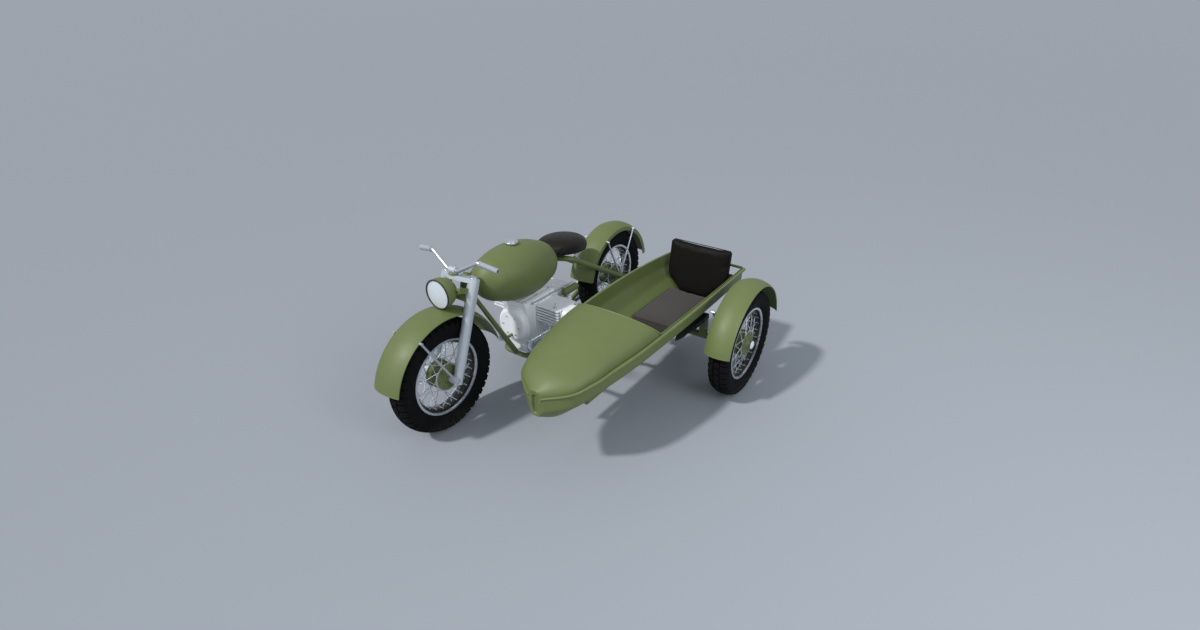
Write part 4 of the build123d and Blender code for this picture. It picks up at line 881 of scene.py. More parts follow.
def hoop(centre, radius, across, thick, first, last, steps=64, sides=10):
    """A round bar bent about a wheel's axis: radius + thick * cos(turn) outward, thick * sin(turn) across."""
    angle = np.radians(np.linspace(first, last, steps))[:, None]
    turn = ring(sides)[None, :]
    out = radius + thick * np.cos(turn)
    points = np.stack([out * np.cos(angle), np.broadcast_to(across + thick * np.sin(turn), (steps, sides)),
                       out * np.sin(angle)], axis=-1)
    middles = radius * np.stack([np.cos(angle), 0 * angle, np.sin(angle)], axis=-1) + LEFT * across
    first_cap = np.repeat(middles[:1], sides, axis=1)
    last_cap = np.repeat(middles[-1:], sides, axis=1)
    return np.concatenate([first_cap, points, last_cap]) + centre, False, True


REAR_GUARD = REAR_HUB - [0.008, 0, 0]
SIDE_GUARD = SIDE_HUB - [0.012, 0, 0]
GUARDS = [
    # name, centre, half width, crown, edge, drop, first, last, body
    ("front", FRONT_HUB, 0.089, 0.372, 0.349, 0.019, 12.6, 166.0, "steering"),
    ("rear", REAR_GUARD, 0.078, 0.365, 0.318, 0.022, 50.0, 170.0, "root"),
    ("rear_panel", REAR_GUARD, 0.086, 0.378, 0.330, 0.022, 12.0, 56.0, "root"),
    ("sidecar", SIDE_GUARD, 0.075, 0.364, 0.338, 0.022, 10.0, 168.0, "root"),
]
EDGE_WIRE = 0.0030
END_WIRE = 0.0026


def guard_beads(name, centre, half, crown, edge, drop, first, last, body):
    """Rolled wire in both edges of a mudguard, and across both of its ends. An end's wire is an arc over the
    guard's width whose radius is (half width squared + drop squared) / (2 * drop)."""
    grids = [hoop(centre, edge + 0.001, side * (half - 0.0032), EDGE_WIRE, first, last) for side in SIDES]
    across = np.linspace(-1, 1, 25) * (half - 0.002)
    height = np.sqrt(((half**2 + drop**2) / (2 * drop)) ** 2 - across**2)
    height = crown - 0.0022 - (height.max() - height)
    for angle in (first + 0.5, last - 0.5):
        path = centre + spoke(np.radians(angle)) * height[:, None] + LEFT * across[:, None]
        grids.append(tube(path, END_WIRE, 8))
    piece(f"{name}_guard_beads", grids, body, "worn_olive", sharp=50.0)


for guard in GUARDS:
    guard_beads(*guard)


# ---------------------------------------------------------------- fork, bar and lamp
def fork_trim():
    """Plain sleeves over both fork legs, caps on their tops and nuts at the axle and under the legs."""
    sleeves, nuts = [], []
    wall = [(0.0005, 0.0), (0.0005, 0.0290), (0.0020, 0.0305), (0.128, 0.0305), (0.134, 0.0280),
            (0.478, 0.0275), (0.484, 0.0262), (0.484, 0.0)]
    for side in SIDES:
        top = LEG_TOP + LEFT * side * LEG_Y
        sleeves.append(lathe(wall, top, DOWN, 48))
        nuts.append(pill(top + DOWN * 0.001, top - DOWN * 0.005, 0.0235, 0.15, 32))
        nuts.append(hexagon(top - DOWN * 0.005, -DOWN, 0.027, 0.007))
        nuts.append(hexagon(FRONT_HUB + LEFT * side * AXLE_NUT_Y, LEFT * side, 0.028, 0.0085))
        nuts.append(hexagon(top + DOWN * LEG_LENGTH, DOWN, 0.020, 0.005))
    piece("fork_sleeves", sleeves, "steering", "silver_paint", sharp=30.0)
    piece("fork_nuts", nuts, "steering", "bright_metal", sharp=30.0)


def bar_fittings():
    """The cone under the handlebar with its bolt, the round knob on the clamp and the stem's hexagon."""
    post = LEG_TOP + AHEAD * 0.058
    cone = [(0.0, 0.0), (0.0, 0.0225), (0.002, 0.0225), (0.011, 0.0165), (0.014, 0.0160), (0.014, 0.0)]
    piece("bar_cone", [lathe(cone, post, -DOWN, 32)], "steering", "green_paint", sharp=30.0)
    knob = LEG_TOP + AHEAD * 0.012
    grids = [
        hexagon(BAR - DOWN * 0.0165, -DOWN, 0.019, 0.009),
        pill(knob, knob - DOWN * 0.010, 0.0175, 0.2, 36),
        pill(knob - DOWN * 0.009, knob - DOWN * 0.014, 0.0100, 0.3, 28),
        hexagon(STEM_TOP - DOWN * 0.014, -DOWN, 0.034, 0.008),
    ]
    for side in SIDES:
        edge = BAR + LEFT * side * 0.0135
        grids.append(hexagon(edge - DOWN * 0.0145 + AHEAD * 0.004, -DOWN, 0.008, 0.004))
    piece("bar_fittings", grids, "steering", "bright_metal", sharp=30.0)


def ribbed_grips():
    """Rubber grips: radius over the length, a shallow rib every 5 mm between a rounded end and a flange."""
    along = np.linspace(0.0, 0.100, 121)
    ribs = 0.0134 + 0.0008 * np.clip(1.6 * np.sin(along / 0.005 * TURN) + 0.3, -1, 1)
    end = np.clip(along / 0.004, 0, 1)
    section = [(0.0, 0.0092), *zip(along, ribs * np.sqrt(1 - (1 - end) ** 2 * 0.5))]
    section += [(0.101, 0.0150), (0.1045, 0.0155), (0.107, 0.0150), (0.107, 0.0113)]
    grids = []
    for side in SIDES:
        tip = BAR + [-0.038, side * 0.272, 0.047]
        inward = unit(BAR + [-0.019, side * 0.158, 0.069] - tip)
        grids.append(closed_lathe(section, tip - inward * 0.001, inward, 32))
    piece("ribbed_grips", grids, "steering", "grip_rubber", replaces=("grips",), sharp=50.0)


def lamp_parts():
    """Bezel, reflector, bulb and the small screw that holds the bezel."""
    turn = np.linspace(0, TURN, 17)[:-1]
    section = np.stack([0.0040 + 0.0042 * np.cos(turn), 0.0768 + 0.0034 * np.sin(turn)], axis=-1)
    grids = [closed_lathe(section, LENS, FRONT, 72)]
    grids.append(pill(LENS + [0.001, 0, -0.0795], LENS + [0.011, 0, -0.0795], 0.0035, 0.3, 12))
    piece("lamp_bezel", grids, "steering", "dark_trim", slot="black_steel", sharp=50.0)
    bowl_r = np.linspace(0.0, 0.0705, 18)
    back = -0.078 + 0.066 * (bowl_r / 0.0705) ** 2
    shell = list(zip(back - 0.0016, bowl_r)) + list(zip(back[::-1], bowl_r[::-1]))
    grids = [lathe(shell, LENS, FRONT, 48)]
    grids.append(pill(LENS - [0.078, 0, 0], LENS - [0.045, 0, 0], 0.0075, 0.9, 20))
    piece("lamp_reflector", grids, "steering", "bright_metal", sharp=60.0)


fork_trim()
bar_fittings()
ribbed_grips()
lamp_parts()


# ---------------------------------------------------------------- tank and saddle
def tank_trim():
    """Knurled edge of the filler cap, its raised middle, the fuel tap and its bowl under the tank."""
    low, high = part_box("filler_cap")
    top = np.array([(low[0] + high[0]) / 2, (low[1] + high[1]) / 2, high[2]])
    ribs = []
    for angle in ring(36):
        out = np.array([np.cos(angle), np.sin(angle), 0.0])
        side = np.array([-np.sin(angle), np.cos(angle), 0.0])
        ribs.append(block(top + out * 0.0358 - UP * 0.0072, (0.0022, 0.0026, 0.006), 0.0007, [out, side, UP]))
    raised = [(-0.0005, 0.0), (-0.0005, 0.022), (0.0012, 0.021), (0.0018, 0.012), (0.0022, 0.0)]
    ribs.append(lathe(raised, top, UP, 40))
    piece("cap_knurl", ribs, "root", "bright_metal", sharp=35.0)
    tap = at(0.800, 0.030, 0.5560)
    grids = [
        pill(tap + UP * 0.012, tap - UP * 0.016, 0.008, 0.2, 18),
        pill(tap - UP * 0.014, tap - UP * 0.040, 0.012, 0.4, 22),
        pill(tap, tap + LEFT * 0.024, 0.0045, 0.3, 14),
    ]
    piece("fuel_tap", grids, "root", "bright_metal", sharp=40.0)


def out_of_tank(points, margin):
    """Points inside the tank's egg, grown by a margin, moved out from its middle onto its surface."""
    away = points - TANK
    halves = np.array([TANK_HALF_LENGTH, TANK_R, TANK_R]) + margin
    parts = away @ tilted(TANK_TILT).T / halves
    size = np.linalg.norm(parts, axis=1)
    grow = np.where(size < 1.0, 1.0 / np.maximum(size, 0.2), 1.0)
    return TANK + away * grow[:, None]


def baked(form, kind, **settings):
    """A modifier put on a piece and made part of its mesh."""
    modifier = form.modifiers.new(kind.lower(), kind)
    for setting, value in settings.items():
        setattr(modifier, setting, value)
    made = bpy.data.meshes.new_from_object(form.evaluated_get(bpy.context.evaluated_depsgraph_get()))
    form.modifiers.clear()
    old, form.data = form.data, made
    bpy.data.meshes.remove(old)


def coordinates(mesh):
    """The places of a mesh's vertices, one row for each."""
    flat = np.empty(len(mesh.vertices) * 3)
    mesh.vertices.foreach_get("co", flat)
    return flat.reshape(-1, 3)


FRAMES = 20             # of cloth under pressure


def swollen(name, grids, finish, node, voxel, cap, settle):
    """A padded piece. Its slightly small form is meshed evenly, blown up as cloth under pressure, held to a
    cap on how far each point moves, settled on what it meets and smoothed once."""
    form = piece(name, grids, "root", finish, replaces=(node,), sharp=180.0)
    baked(form, "REMESH", mode="VOXEL", voxel_size=voxel)
    rest = coordinates(form.data)
    cloth = form.modifiers.new("cloth", "CLOTH")
    cloth.settings.use_pressure = True
    cloth.settings.uniform_pressure_force = 4.0
    cloth.settings.effector_weights.gravity = 0.0
    cloth.point_cache.frame_start, cloth.point_cache.frame_end = 1, FRAMES
    for step in range(1, FRAMES + 1):
        bpy.context.scene.frame_set(step)
    blown = form.evaluated_get(bpy.context.evaluated_depsgraph_get()).to_mesh()
    moved = coordinates(blown) - rest
    length = np.linalg.norm(moved, axis=1, keepdims=True)
    moved = moved * np.minimum(1.0, cap * np.tanh(length / cap) / np.maximum(length, EPSILON))
    form.modifiers.clear()
    bpy.context.scene.frame_set(1)
    form.data.vertices.foreach_set("co", settle(rest + moved).ravel())
    form.data.update()
    baked(form, "SMOOTH", factor=0.5, iterations=4)
    baked(form, "SUBSURF", levels=1, render_levels=1)
    form.data.vertices.foreach_set("co", settle(coordinates(form.data)).ravel())
    form.data.polygons.foreach_set("use_smooth", np.ones(len(form.data.polygons), bool))
    form.data.update()
    return form


def seam(name, forms, paths, radius, finish):
    """A thin cord of piping laid along paths and drawn onto the surface of the piece it belongs to."""
    grids = []
    for form, path in zip(forms, paths):
        bpy.context.view_layer.update()
        path = np.array([form.closest_point_on_mesh(Vector(point))[1] for point in path])
        way = unit(np.roll(path, -1, axis=0) - np.roll(path, 1, axis=0))
        out = unit(path - path.mean(axis=0))
        side = unit(np.cross(way, out))
        lift = np.cross(side, way)
        turn = ring(8)[None, :, None]
        wall = path[:, None] + radius * (np.cos(turn) * side[:, None] + np.sin(turn) * lift[:, None])
        grids.append((wall, True, True))
    return piece(name, grids, "root", finish, sharp=60.0)


SADDLE = at(0.5311, 0.0, 0.709)
SADDLE_TILT = np.radians(8.0)
SADDLE_AXES = tilted(SADDLE_TILT)
SADDLE_HALF_LENGTH, SADDLE_HALF_WIDTH = 0.210, 0.130
SADDLE_UNDER, SADDLE_OVER = -0.0425, 0.061      # how far the pad may swell from the saddle's middle plane
SADDLE_PIPING = 0.0024
SADDLE_SECTION = [
    # share of the plan's reach, height over the middle
    (0.0, -0.040), (0.60, -0.040), (0.89, -0.040), (0.950, -0.035), (0.970, -0.022), (0.963, -0.005),
    (0.925, 0.012), (0.84, 0.030), (0.68, 0.044), (0.45, 0.053), (0.22, 0.056), (0.0, 0.057),
]


def saddle_plan(angle):
    """Reach over angle: an egg, half length * cos(angle) along and half width * sin(angle) across, where the
    front is narrower than the back by a small share of cos(angle)."""
    along = SADDLE_HALF_LENGTH * np.cos(angle)
    across = SADDLE_HALF_WIDTH * np.sin(angle) * (1 - 0.06 * np.cos(angle))
    return np.stack([along, across], axis=-1)


def saddle_ring(share, height, count=72):
    """The plan drawn in to a share of its reach, at a height over the saddle's tilted middle plane."""
    local = np.column_stack([saddle_plan(ring(count)) * share, np.full(count, height)])
    return SADDLE + local @ SADDLE_AXES


def settle_saddle(points):
    """Flat underneath, within the saddle's height, and pressed back where it meets the tank."""
    local = (points - SADDLE) @ SADDLE_AXES.T
    local[:, 2] = np.clip(local[:, 2], SADDLE_UNDER, SADDLE_OVER)
    return out_of_tank(SADDLE + local @ SADDLE_AXES, 0.003)


def slab(outline, thick, turn_by, place, axes):
    """A slab from a closed outline: each face's rim is turned over by a quarter round toward the middle."""
    outline = np.asarray(outline, float)
    centre = outline.mean(axis=0)
    reach = np.linalg.norm(outline - centre, axis=1, keepdims=True)
    bend = np.linspace(0, np.pi / 2, 5)
    inset = turn_by * (1 - np.sin(bend))
    level = turn_by * (1 - np.cos(bend))
    rows = []
    less_rows = np.concatenate([inset, inset[::-1]])
    heights = np.concatenate([level, (thick - level)[::-1]])
    for less, height in zip(less_rows, heights):
        flat = centre + (outline - centre) * (1 - less / reach)
        rows.append(np.column_stack([flat, np.full(len(flat), height)]))
    first = np.tile([*centre, 0.0], (len(outline), 1))
    last = np.tile([*centre, thick], (len(outline), 1))
    return place + np.array([first, *rows, last]) @ np.asarray(axes), False, True


def rounded_outline(corners, radii, steps=7):
    """A closed outline with each corner turned over by its own radius."""
    corners = np.asarray(corners, float)
    start = (corners[-1] + corners[0]) / 2
    loop = np.vstack([start, corners, start])[None]
    return rounded_corners(loop, radii, steps)[0, :-1]


tank_trim()
saddle_grid = np.array([saddle_ring(*row) for row in SADDLE_SECTION])
saddle_form = swollen(
    "saddle_pad", [(saddle_grid, False, True)], "seat_leather", "saddle", 0.005, 0.006, settle_saddle)
saddle_path = out_of_tank(saddle_ring(0.980, -0.033), 0.004)
seam("saddle_piping", [saddle_form], [saddle_path], SADDLE_PIPING, "black_vinyl")

CUSHION_LOW, CUSHION_HIGH = (np.array(corner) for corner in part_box("sidecar_seat"))
CUSHION = (CUSHION_LOW + CUSHION_HIGH) / 2
CUSHION_SIZE = CUSHION_HIGH - CUSHION_LOW
CUSHION_CROWN = 0.008
CUSHION_CORNERS = np.array([(-1, -1), (1, -1), (1, 1), (-1, 1)])
CUSHION_PIPING = 0.0028


def settle_cushion(points):
    """Flat on the board, and crowned to no more than so far over the cushion's height."""
    points[:, 2] = np.clip(points[:, 2], CUSHION_LOW[2], CUSHION_HIGH[2] + CUSHION_CROWN)
    return points


cushion_outline = rounded_outline(CUSHION_CORNERS * (CUSHION_SIZE[:2] / 2 - 0.004), (0.012,) * 4)
cushion_foot = np.array([CUSHION[0], CUSHION[1], CUSHION_LOW[2]])
cushion_grid = slab(cushion_outline, CUSHION_SIZE[2] - 0.007, 0.009, cushion_foot, np.eye(3))
cushion_form = swollen(
    "seat_cushion", [cushion_grid], "cushion_fabric", "sidecar_seat", 0.006, 0.010, settle_cushion)
cushion_level = np.full(len(cushion_outline), CUSHION_SIZE[2] - 0.012)
cushion_path = cushion_foot + np.column_stack([cushion_outline * 1.01, cushion_level])
seam("cushion_piping", [cushion_form], [cushion_path], CUSHION_PIPING, "cushion_fabric")

BACK_LEAN = np.radians(7.0)
BACK_T = 0.052
BACK_OUT = np.array([np.cos(BACK_LEAN), 0.0, np.sin(BACK_LEAN)])
BACK_UP = np.array([-np.sin(BACK_LEAN), 0.0, np.cos(BACK_LEAN)])
BACK_FOOT = at(0.096, TUB_Y, 0.3483 + BACK_T * np.sin(BACK_LEAN))
BACK_TOP = (0.700 - BACK_FOOT[2]) / np.cos(BACK_LEAN) + 0.002
BACK_HALF = 0.208
BACK_CORNERS = [
    (-0.096, 0.004), (0.096, 0.004), (BACK_HALF, 0.112), (BACK_HALF, BACK_TOP), (-BACK_HALF, BACK_TOP),
    (-BACK_HALF, 0.112),
]
BACK_PIPING = 0.0026
back_axes = np.array([LEFT, BACK_UP, BACK_OUT])
back_outline = rounded_outline(BACK_CORNERS, (0.03, 0.03, 0.05, 0.022, 0.022, 0.05))


def settle_back(points):
    """Flat behind, and no thicker in front than 8 mm over the pad's own thickness."""
    depth = (points - BACK_FOOT) @ BACK_OUT
    return points + (np.clip(depth, -BACK_T, 0.006) - depth)[:, None] * BACK_OUT


back_grid = slab(back_outline, BACK_T - 0.006, 0.018, BACK_FOOT - BACK_OUT * BACK_T, back_axes)
back_form = swollen(
    "back_pad", [back_grid], "black_vinyl", "sidecar_backrest", 0.006, 0.010, settle_back)
back_edge = np.column_stack([back_outline * 1.004, np.zeros(len(back_outline))]) @ back_axes
back_paths = [BACK_FOOT - BACK_OUT * depth + back_edge for depth in (0.008, BACK_T - 0.010)]
seam("back_piping", [back_form, back_form], back_paths, BACK_PIPING, "black_vinyl")


COIL_Y = 0.062
COIL_TURNS = 6
COIL_WIRE = 0.0030


def coil_springs():
    """Two coil springs under the saddle: a wire wound round a line that leans with the saddle, its radius
    growing by cos and its pitch closing by sin towards each end."""
    low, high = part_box("saddle_spring")
    height = high[2] - low[2] - 0.008
    share = np.linspace(0, 1, 200)
    rise = height * (share - 0.35 * np.sin(share * TURN) / TURN)
    radius = 0.0150 + 0.003 * np.cos(share * TURN)
    turn = share * COIL_TURNS * TURN
    lean = np.array([-np.tan(SADDLE_TILT), 0.0, 1.0])
    wire = np.stack([radius * np.cos(turn), radius * np.sin(turn), 0 * turn], axis=-1) + rise[:, None] * lean
    grids = []
    for side in SIDES:
        foot = np.array([(low[0] + high[0]) / 2 + 0.004, REAR_HUB[1] + side * COIL_Y, low[2] + 0.004])
        grids.append(tube(foot + wire, COIL_WIRE, 8))
        for level in (0.0, height):
            centre = foot + lean * level
            grids.append(pill(centre - UP * 0.003, centre + UP * 0.003, 0.021, 0.15, 28))
    piece("saddle_coils", grids, "root", "bright_metal", replaces=("saddle_spring",), sharp=40.0)


coil_springs()


# ---------------------------------------------------------------- engine
CRANK_Z = 0.360
COVER_X = 1.0203
CYLINDER_X, CYLINDER_Z = 0.812, 0.420
CASE_HALF = 0.0855      # casing's sides, where the ribs stand
RIB_FOOT = 0.215
CASE_RIBS = [
    # x, rib's top: those under a cylinder are short
    (0.745, 0.345), (0.785, 0.345), (0.825, 0.345), (0.865, 0.345), (0.905, 0.450),
]
LID_BOLTS = [
    # x, across
    (0.730, 0.050), (0.730, -0.050), (0.845, 0.055), (0.845, -0.055), (0.958, 0.050), (0.958, -0.050),
]
LID_Z = 0.4995
CARB_X, CARB_Y = 0.687, 0.150


def casing():
    """Bolts and a raised ring on the front cover, ribs on the casing's sides and the gearbox's top, a bolted
    lid, and a long rod on two brackets beside it."""
    face = at(COVER_X, 0.0, CRANK_Z)
    ridge = [(-0.040, 0.104), (-0.040, 0.110), (-0.036, 0.1115), (-0.032, 0.110), (-0.031, 0.104)]
    plates, bolts = [closed_lathe(ridge, face, FRONT, 72)], []
    for angle in ring(6):
        spot = face + 0.062 * np.array([0.0, np.cos(angle), np.sin(angle)]) + FRONT * 0.0005
        bolts.append(hexagon(spot, FRONT, 0.010, 0.005))
    for x, top in CASE_RIBS:
        for side in SIDES:
            size = (0.006, 0.005, top - RIB_FOOT)
            plates.append(block(at(x, side * CASE_HALF, (RIB_FOOT + top) / 2), size, 0.002))
    for x in (0.590, 0.640, 0.690):
        plates.append(block(at(x, 0.0, 0.4765), (0.007, 0.100, 0.006), 0.002))
    for x, y in LID_BOLTS:
        bolts.append(hexagon(at(x, y, LID_Z), UP, 0.012, 0.006))
    plates.append(block(at(0.845, 0.0, LID_Z + 0.0015), (0.230, 0.070, 0.006), 0.003))
    bolts.append(pill(at(0.943, 0.096, 0.494), at(0.560, 0.106, 0.494), 0.0042, 0.3, 12))
    for x in (0.920, 0.760):
        plates.append(block(at(x, 0.0910, 0.4900), (0.010, 0.022, 0.010), 0.002))
    return plates, bolts


def cylinder_trim(side):
    """One cylinder's flanges and their nuts, both pushrod tubes, the plug, and the carburettor's cap, drain
    and neck."""
    in_plane = np.array([FRONT, UP, LEFT])
    plates = [
        block(at(CYLINDER_X, side * 0.0880, CYLINDER_Z), (0.118, 0.118, 0.008), 0.0035, in_plane),
        block(at(CYLINDER_X, side * 0.2545, CYLINDER_Z), (0.137, 0.103, 0.006), 0.0029, in_plane),
    ]
    bolts = []
    for ahead in (-0.055, 0.055):
        for up in (-0.042, 0.042):
            corner = at(CYLINDER_X + ahead, side * 0.0895, CYLINDER_Z + up)
            bolts.append(hexagon(corner, LEFT * side, 0.010, 0.005))
    for x in (0.770, 0.800):
        bolts.append(tube([at(x, side * 0.084, 0.3600), at(x, side * 0.256, 0.3640)], 0.0080, 16))
    plug = at(0.866, side * 0.210, 0.4680)
    bolts.append(pill(plug, plug + UP * 0.008, 0.009, 0.15, 6))
    bolts.append(pill(plug + UP * 0.007, plug + UP * 0.032, 0.0055, 0.3, 14))
    cap, drain = at(CARB_X, side * CARB_Y, 0.4500), at(CARB_X, side * CARB_Y, 0.3900)
    bolts.append(pill(cap, cap + UP * 0.006, 0.0125, 0.2, 24))
    bolts.append(hexagon(drain, -UP, 0.012, 0.005))
    neck = [(-0.003, 0.0205), (-0.003, 0.0235), (0.003, 0.0235), (0.003, 0.0205)]
    bolts.append(closed_lathe(neck, at(0.724, side * CARB_Y, 0.430), FRONT, 32))
    return plates, bolts


def engine_trim():
    """The casing's and both cylinders' small parts, as one cast piece and one plated piece."""
    plates, bolts = casing()
    for side in SIDES:
        more_plates, more_bolts = cylinder_trim(side)
        plates += more_plates
        bolts += more_bolts
    piece("engine_castings", plates, "root", "cast_alloy", sharp=35.0)
    piece("engine_bolts", bolts, "root", "bright_metal", sharp=35.0)


SILENCER_R = 0.036
SILENCER_FRONT = (0.330, 0.168, 0.152)
SILENCER_BACK = (-0.230, 0.168, 0.176)
PORT = (0.876, 0.170, 0.3712)
PORT_COLLAR = [(0.0, 0.0205), (0.0, 0.0285), (0.004, 0.0290), (0.012, 0.0275), (0.013, 0.0205)]
END_CONE = [
    (-0.002, 0.0), (-0.002, 0.0375), (0.004, 0.0370), (0.022, 0.0190), (0.045, 0.0180), (0.045, 0.0150),
    (0.010, 0.0150), (0.010, 0.0),
]
BAND_HALF = 0.007


def exhaust_trim():
    """Collars at both ports, clamps round the pipes and silencers, and an end cone with its outlet."""
    bands, outlets = [], []
    for side in SIDES:
        port, front_end, back_end = (at(x, side * y, z) for x, y, z in (PORT, SILENCER_FRONT, SILENCER_BACK))
        bands.append(closed_lathe(PORT_COLLAR, port, -UP, 36))
        way = unit(back_end - front_end)
        clamps = (
            (front_end - way * 0.012, 0.0212),
            (front_end + way * 0.012, SILENCER_R + 0.0022),
            (back_end - way * 0.020, SILENCER_R + 0.0022),
        )
        for centre, radius in clamps:
            inside, outside = radius - 0.001, radius + 0.002
            section = [(-BAND_HALF, inside), (-BAND_HALF, outside), (BAND_HALF, outside), (BAND_HALF, inside)]
            bands.append(closed_lathe(section, centre, way, 40))
        outlets.append(lathe(END_CONE, back_end, way, 40))
    piece("exhaust_bands", bands, "root", "bright_metal", sharp=35.0)
    piece("silencer_ends", outlets, "root", "bright_metal", sharp=35.0)


engine_trim()
exhaust_trim()


# ---------------------------------------------------------------- frame, struts and springs
STRUTS = [
    # x and height on the motorcycle's frame, x on the sidecar's chassis
    (0.985, 0.165, 1.060), (0.6998, 0.190, 0.680), (0.4600, 0.188, 0.300),
]
STRUT_BIKE_Y, STRUT_BIKE_R = (0.1205, 0.1340), 0.0192
STRUT_CAR_Y, STRUT_CAR_R = (0.5090, 0.5225), 0.0180
CHASSIS_Z = 0.282
REST_X, REST_Y, REST_Z = 0.600, 0.1180, 0.2498
REST_LENGTH = 0.110


def joint_collars():
    """Collars over each strut's two joints, nuts on the rear axle and ribbed sleeves on the footrests: radius
    over length, a step of 1 mm up and down every 10 mm."""
    collars, nuts, sleeves = [], [], []
    for x, z, chassis_x in STRUTS:
        joints = ((x, z, STRUT_BIKE_Y, STRUT_BIKE_R, 0.1270, 0.0185),
                  (chassis_x, CHASSIS_Z, STRUT_CAR_Y, STRUT_CAR_R, 0.5160, 0.0175))
        for joint_x, joint_z, (near, far), radius, nut_y, lift in joints:
            collars.append(pill(at(joint_x, near, joint_z), at(joint_x, far, joint_z), radius, 0.2, 28))
            nuts.append(hexagon(at(joint_x, nut_y, joint_z + lift), UP, 0.012, 0.006))
    along = np.linspace(0, REST_LENGTH, 67)
    radius = 0.0133 + 0.0010 * np.sign(np.sin(along / 0.010 * TURN))
    sleeve = [(0.0, 0.0098), *zip(along, radius), (REST_LENGTH, 0.0098)]
    for side in SIDES:
        nuts.append(hexagon(at(0.0, side * 0.1400, REAR_HUB[2]), LEFT * side, 0.027, 0.0085))
        sleeves.append(closed_lathe(sleeve, at(REST_X, side * REST_Y, REST_Z), LEFT * side, 20))
    piece("joint_collars", collars, "root", "green_paint", sharp=40.0)
    piece("frame_nuts", nuts, "root", "bright_metal", sharp=35.0)
    piece("footrest_ribs", sleeves, "root", "black_steel", sharp=35.0)


LEAF_BACK, LEAF_FRONT = 0.333, 0.705
LEAF_Y = 0.208          # from the sidecar's middle plane
LEAF_TOP = 0.4198
LEAF_HALF = 0.0208
LEAF_THICK = 0.0086
LEAF_PITCH = 0.009
LEAF_STEP = 0.090       # each leaf ends this far behind the one over it
LEAF_TIP = 0.055
LEAF_BOW = 0.003
LEAVES = 3


def leaf(y, number):
    """One leaf: its width narrows to a rounded point, by a power of 0.6 over the tip's length, and it bows by
    the square of the distance from its back end."""
    back, front, tip = LEAF_BACK, LEAF_FRONT - LEAF_STEP * number, LEAF_TIP
    from_tip = tip * (1 - np.linspace(0, 1, 14)[1:]) ** 1.5
    x = np.concatenate([np.linspace(back, front - tip, 24), front - from_tip])
    wide = LEAF_HALF * np.clip(np.clip((front - x) / tip, 0, 1) ** 0.6, 0.08, 1)
    middle_z = LEAF_TOP - LEAF_PITCH * number - LEAF_BOW * ((x - back) / (front - back)) ** 2 - LEAF_THICK / 2
    half, turn = LEAF_THICK / 2, 0.002
    # the section's eight corners: a side times the half width, less a turn or not, and the height
    width_sign = np.array([1, 1, 1, 1, -1, -1, -1, -1])
    less = turn * np.array([1, 0, 0, 1, 1, 0, 0, 1])
    height = np.array([-half, turn - half, half - turn, half, half, half - turn, turn - half, -half])
    rows = at(x[:, None], y + width_sign * (wide[:, None] - less), middle_z[:, None] + height)
    ends = [np.repeat(rows[end].mean(axis=0)[None, None], 8, axis=1) for end in (0, -1)]
    return np.concatenate([ends[0], rows, ends[1]]), False, True


def leaf_packs():
    """Three leaves on each side with pointed ends, two clips round each pack and a bolt over the beam."""
    leaves, clips = [], []
    for side in SIDES:
        y = TUB_Y + side * LEAF_Y
        leaves += [leaf(y, number) for number in range(LEAVES)]
        for x, count in ((0.400, LEAVES), (0.500, LEAVES - 1)):
            tall = LEAF_PITCH * count + 0.006
            clips.append(block(at(x, y, LEAF_TOP + 0.0017 - tall / 2), (0.014, 0.050, tall), 0.003))
        clips.append(hexagon(at(0.353, y, LEAF_TOP + 0.0002), UP, 0.016, 0.007))
    piece("leaf_packs", leaves, "root", "black_steel", replaces=("leaf_springs",), sharp=40.0)
    piece("leaf_clips", clips, "root", "black_steel", sharp=40.0)


STAYS = [
    # body, hub or guard centre, angle, reach, across
    ("steering", FRONT_HUB, 60.0, 0.3505, 0.1043),
    ("root", REAR_GUARD, 62.0, 0.338, 0.0945),
    ("root", REAR_GUARD, 116.0, 0.338, 0.0945),
]


def stay_nuts(body):
    """A dome nut where each mudguard stay on a body is bolted."""
    grids = []
    for stay_body, centre, angle, reach, across in STAYS:
        if stay_body == body:
            bolt = centre + spoke(np.radians(angle)) * reach
            grids += [hexagon(bolt + LEFT * side * across, LEFT * side, 0.011, 0.004) for side in SIDES]
    piece(f"{body}_stay_nuts", grids, body, "bright_metal", sharp=35.0)


joint_collars()
leaf_packs()
stay_nuts("steering")
stay_nuts("root")


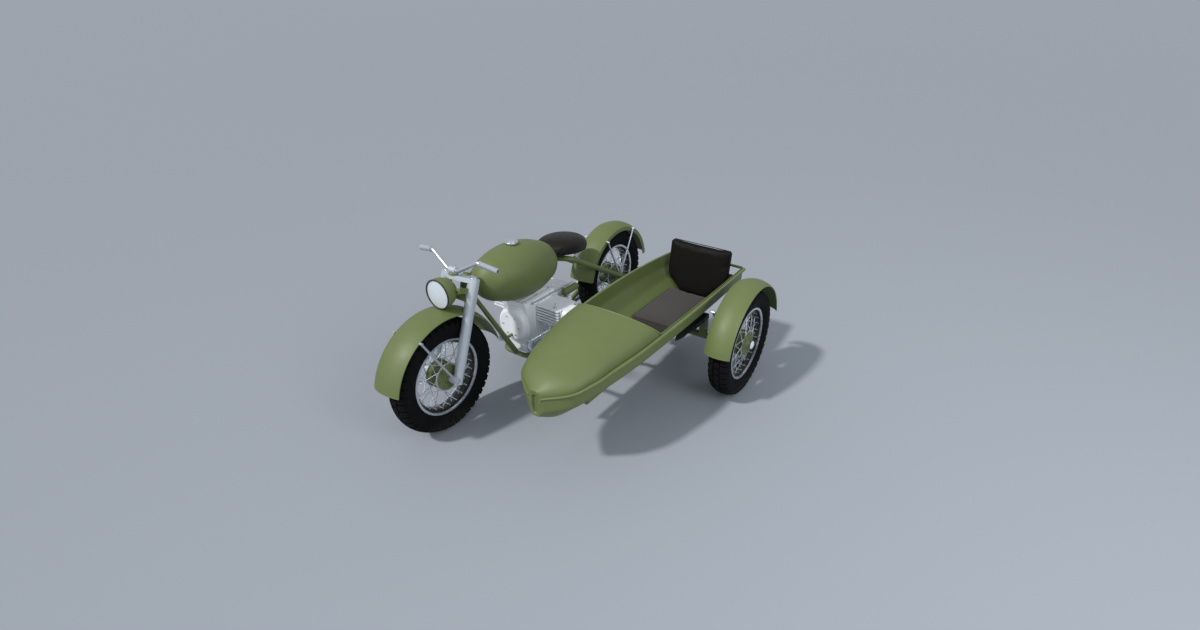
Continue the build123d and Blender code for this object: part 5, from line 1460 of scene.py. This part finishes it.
# ---------------------------------------------------------------- camera, floor and light
HEADING, PITCH = -145.105, -28.33       # of the camera, in degrees
HORIZON = 150.0                         # half the floor's width
eye = bpy.data.objects.new("Camera", bpy.data.cameras.new("Camera"))
bpy.context.scene.collection.objects.link(eye)
eye.data.sensor_width = 36.0
eye.data.lens = 18.83
eye.data.clip_end = 400.0
eye.location = at(3.343, 2.250, 2.150)
eye.rotation_euler = np.radians([90.0 + PITCH, 0.0, HEADING - 90.0])
bpy.context.scene.camera = eye

floor_mesh = bpy.data.meshes.new("floor")
corners = [(x * HORIZON, y * HORIZON, 0.0) for x, y in ((-1, -1), (1, -1), (1, 1), (-1, 1))]
floor_mesh.from_pydata(corners, [], [(0, 1, 2, 3)])
floor = bpy.data.objects.new("floor", floor_mesh)
bpy.context.scene.collection.objects.link(floor)
floor_mesh.materials.append(Finish("floor_grey", (0.315, 0.342, 0.386), 0.9).material)

LIGHT_FROM = unit(np.array([0.45, -0.20, 0.53]))


def lamp(name, toward, distance, size, watts, colour=(1.0, 1.0, 1.0)):
    """A square soft lamp set this far from the object's middle, facing it."""
    data = bpy.data.lights.new(name, "AREA")
    data.size, data.energy, data.color = size, watts, colour
    made = bpy.data.objects.new(name, data)
    bpy.context.scene.collection.objects.link(made)
    aim = Vector([-0.05, 0.05, 0.35])
    made.location = aim + Vector(unit(np.array(toward, float))) * distance
    made.rotation_euler = (made.location - aim).to_track_quat("Z", "Y").to_euler()
    return made


sun = bpy.data.lights.new("key_sun", "SUN")
sun.energy, sun.angle, sun.color = 2.3, np.radians(4.0), (1.0, 0.985, 0.96)
key = bpy.data.objects.new("key_sun", sun)
bpy.context.scene.collection.objects.link(key)
key.rotation_euler = Vector(LIGHT_FROM).to_track_quat("Z", "Y").to_euler()
lamp("near_fill_lamp", (0.35, 1.0, 0.75), 6.0, 3.0, 110.0, (0.93, 0.96, 1.0))

world = bpy.data.worlds.new("studio")
bpy.context.scene.world = world
world.use_nodes = True
world.node_tree.nodes["Background"].inputs["Color"].default_value = (0.88, 0.94, 1.0, 1.0)
world.node_tree.nodes["Background"].inputs["Strength"].default_value = 0.50
bpy.context.scene.view_settings.view_transform = "Standard"
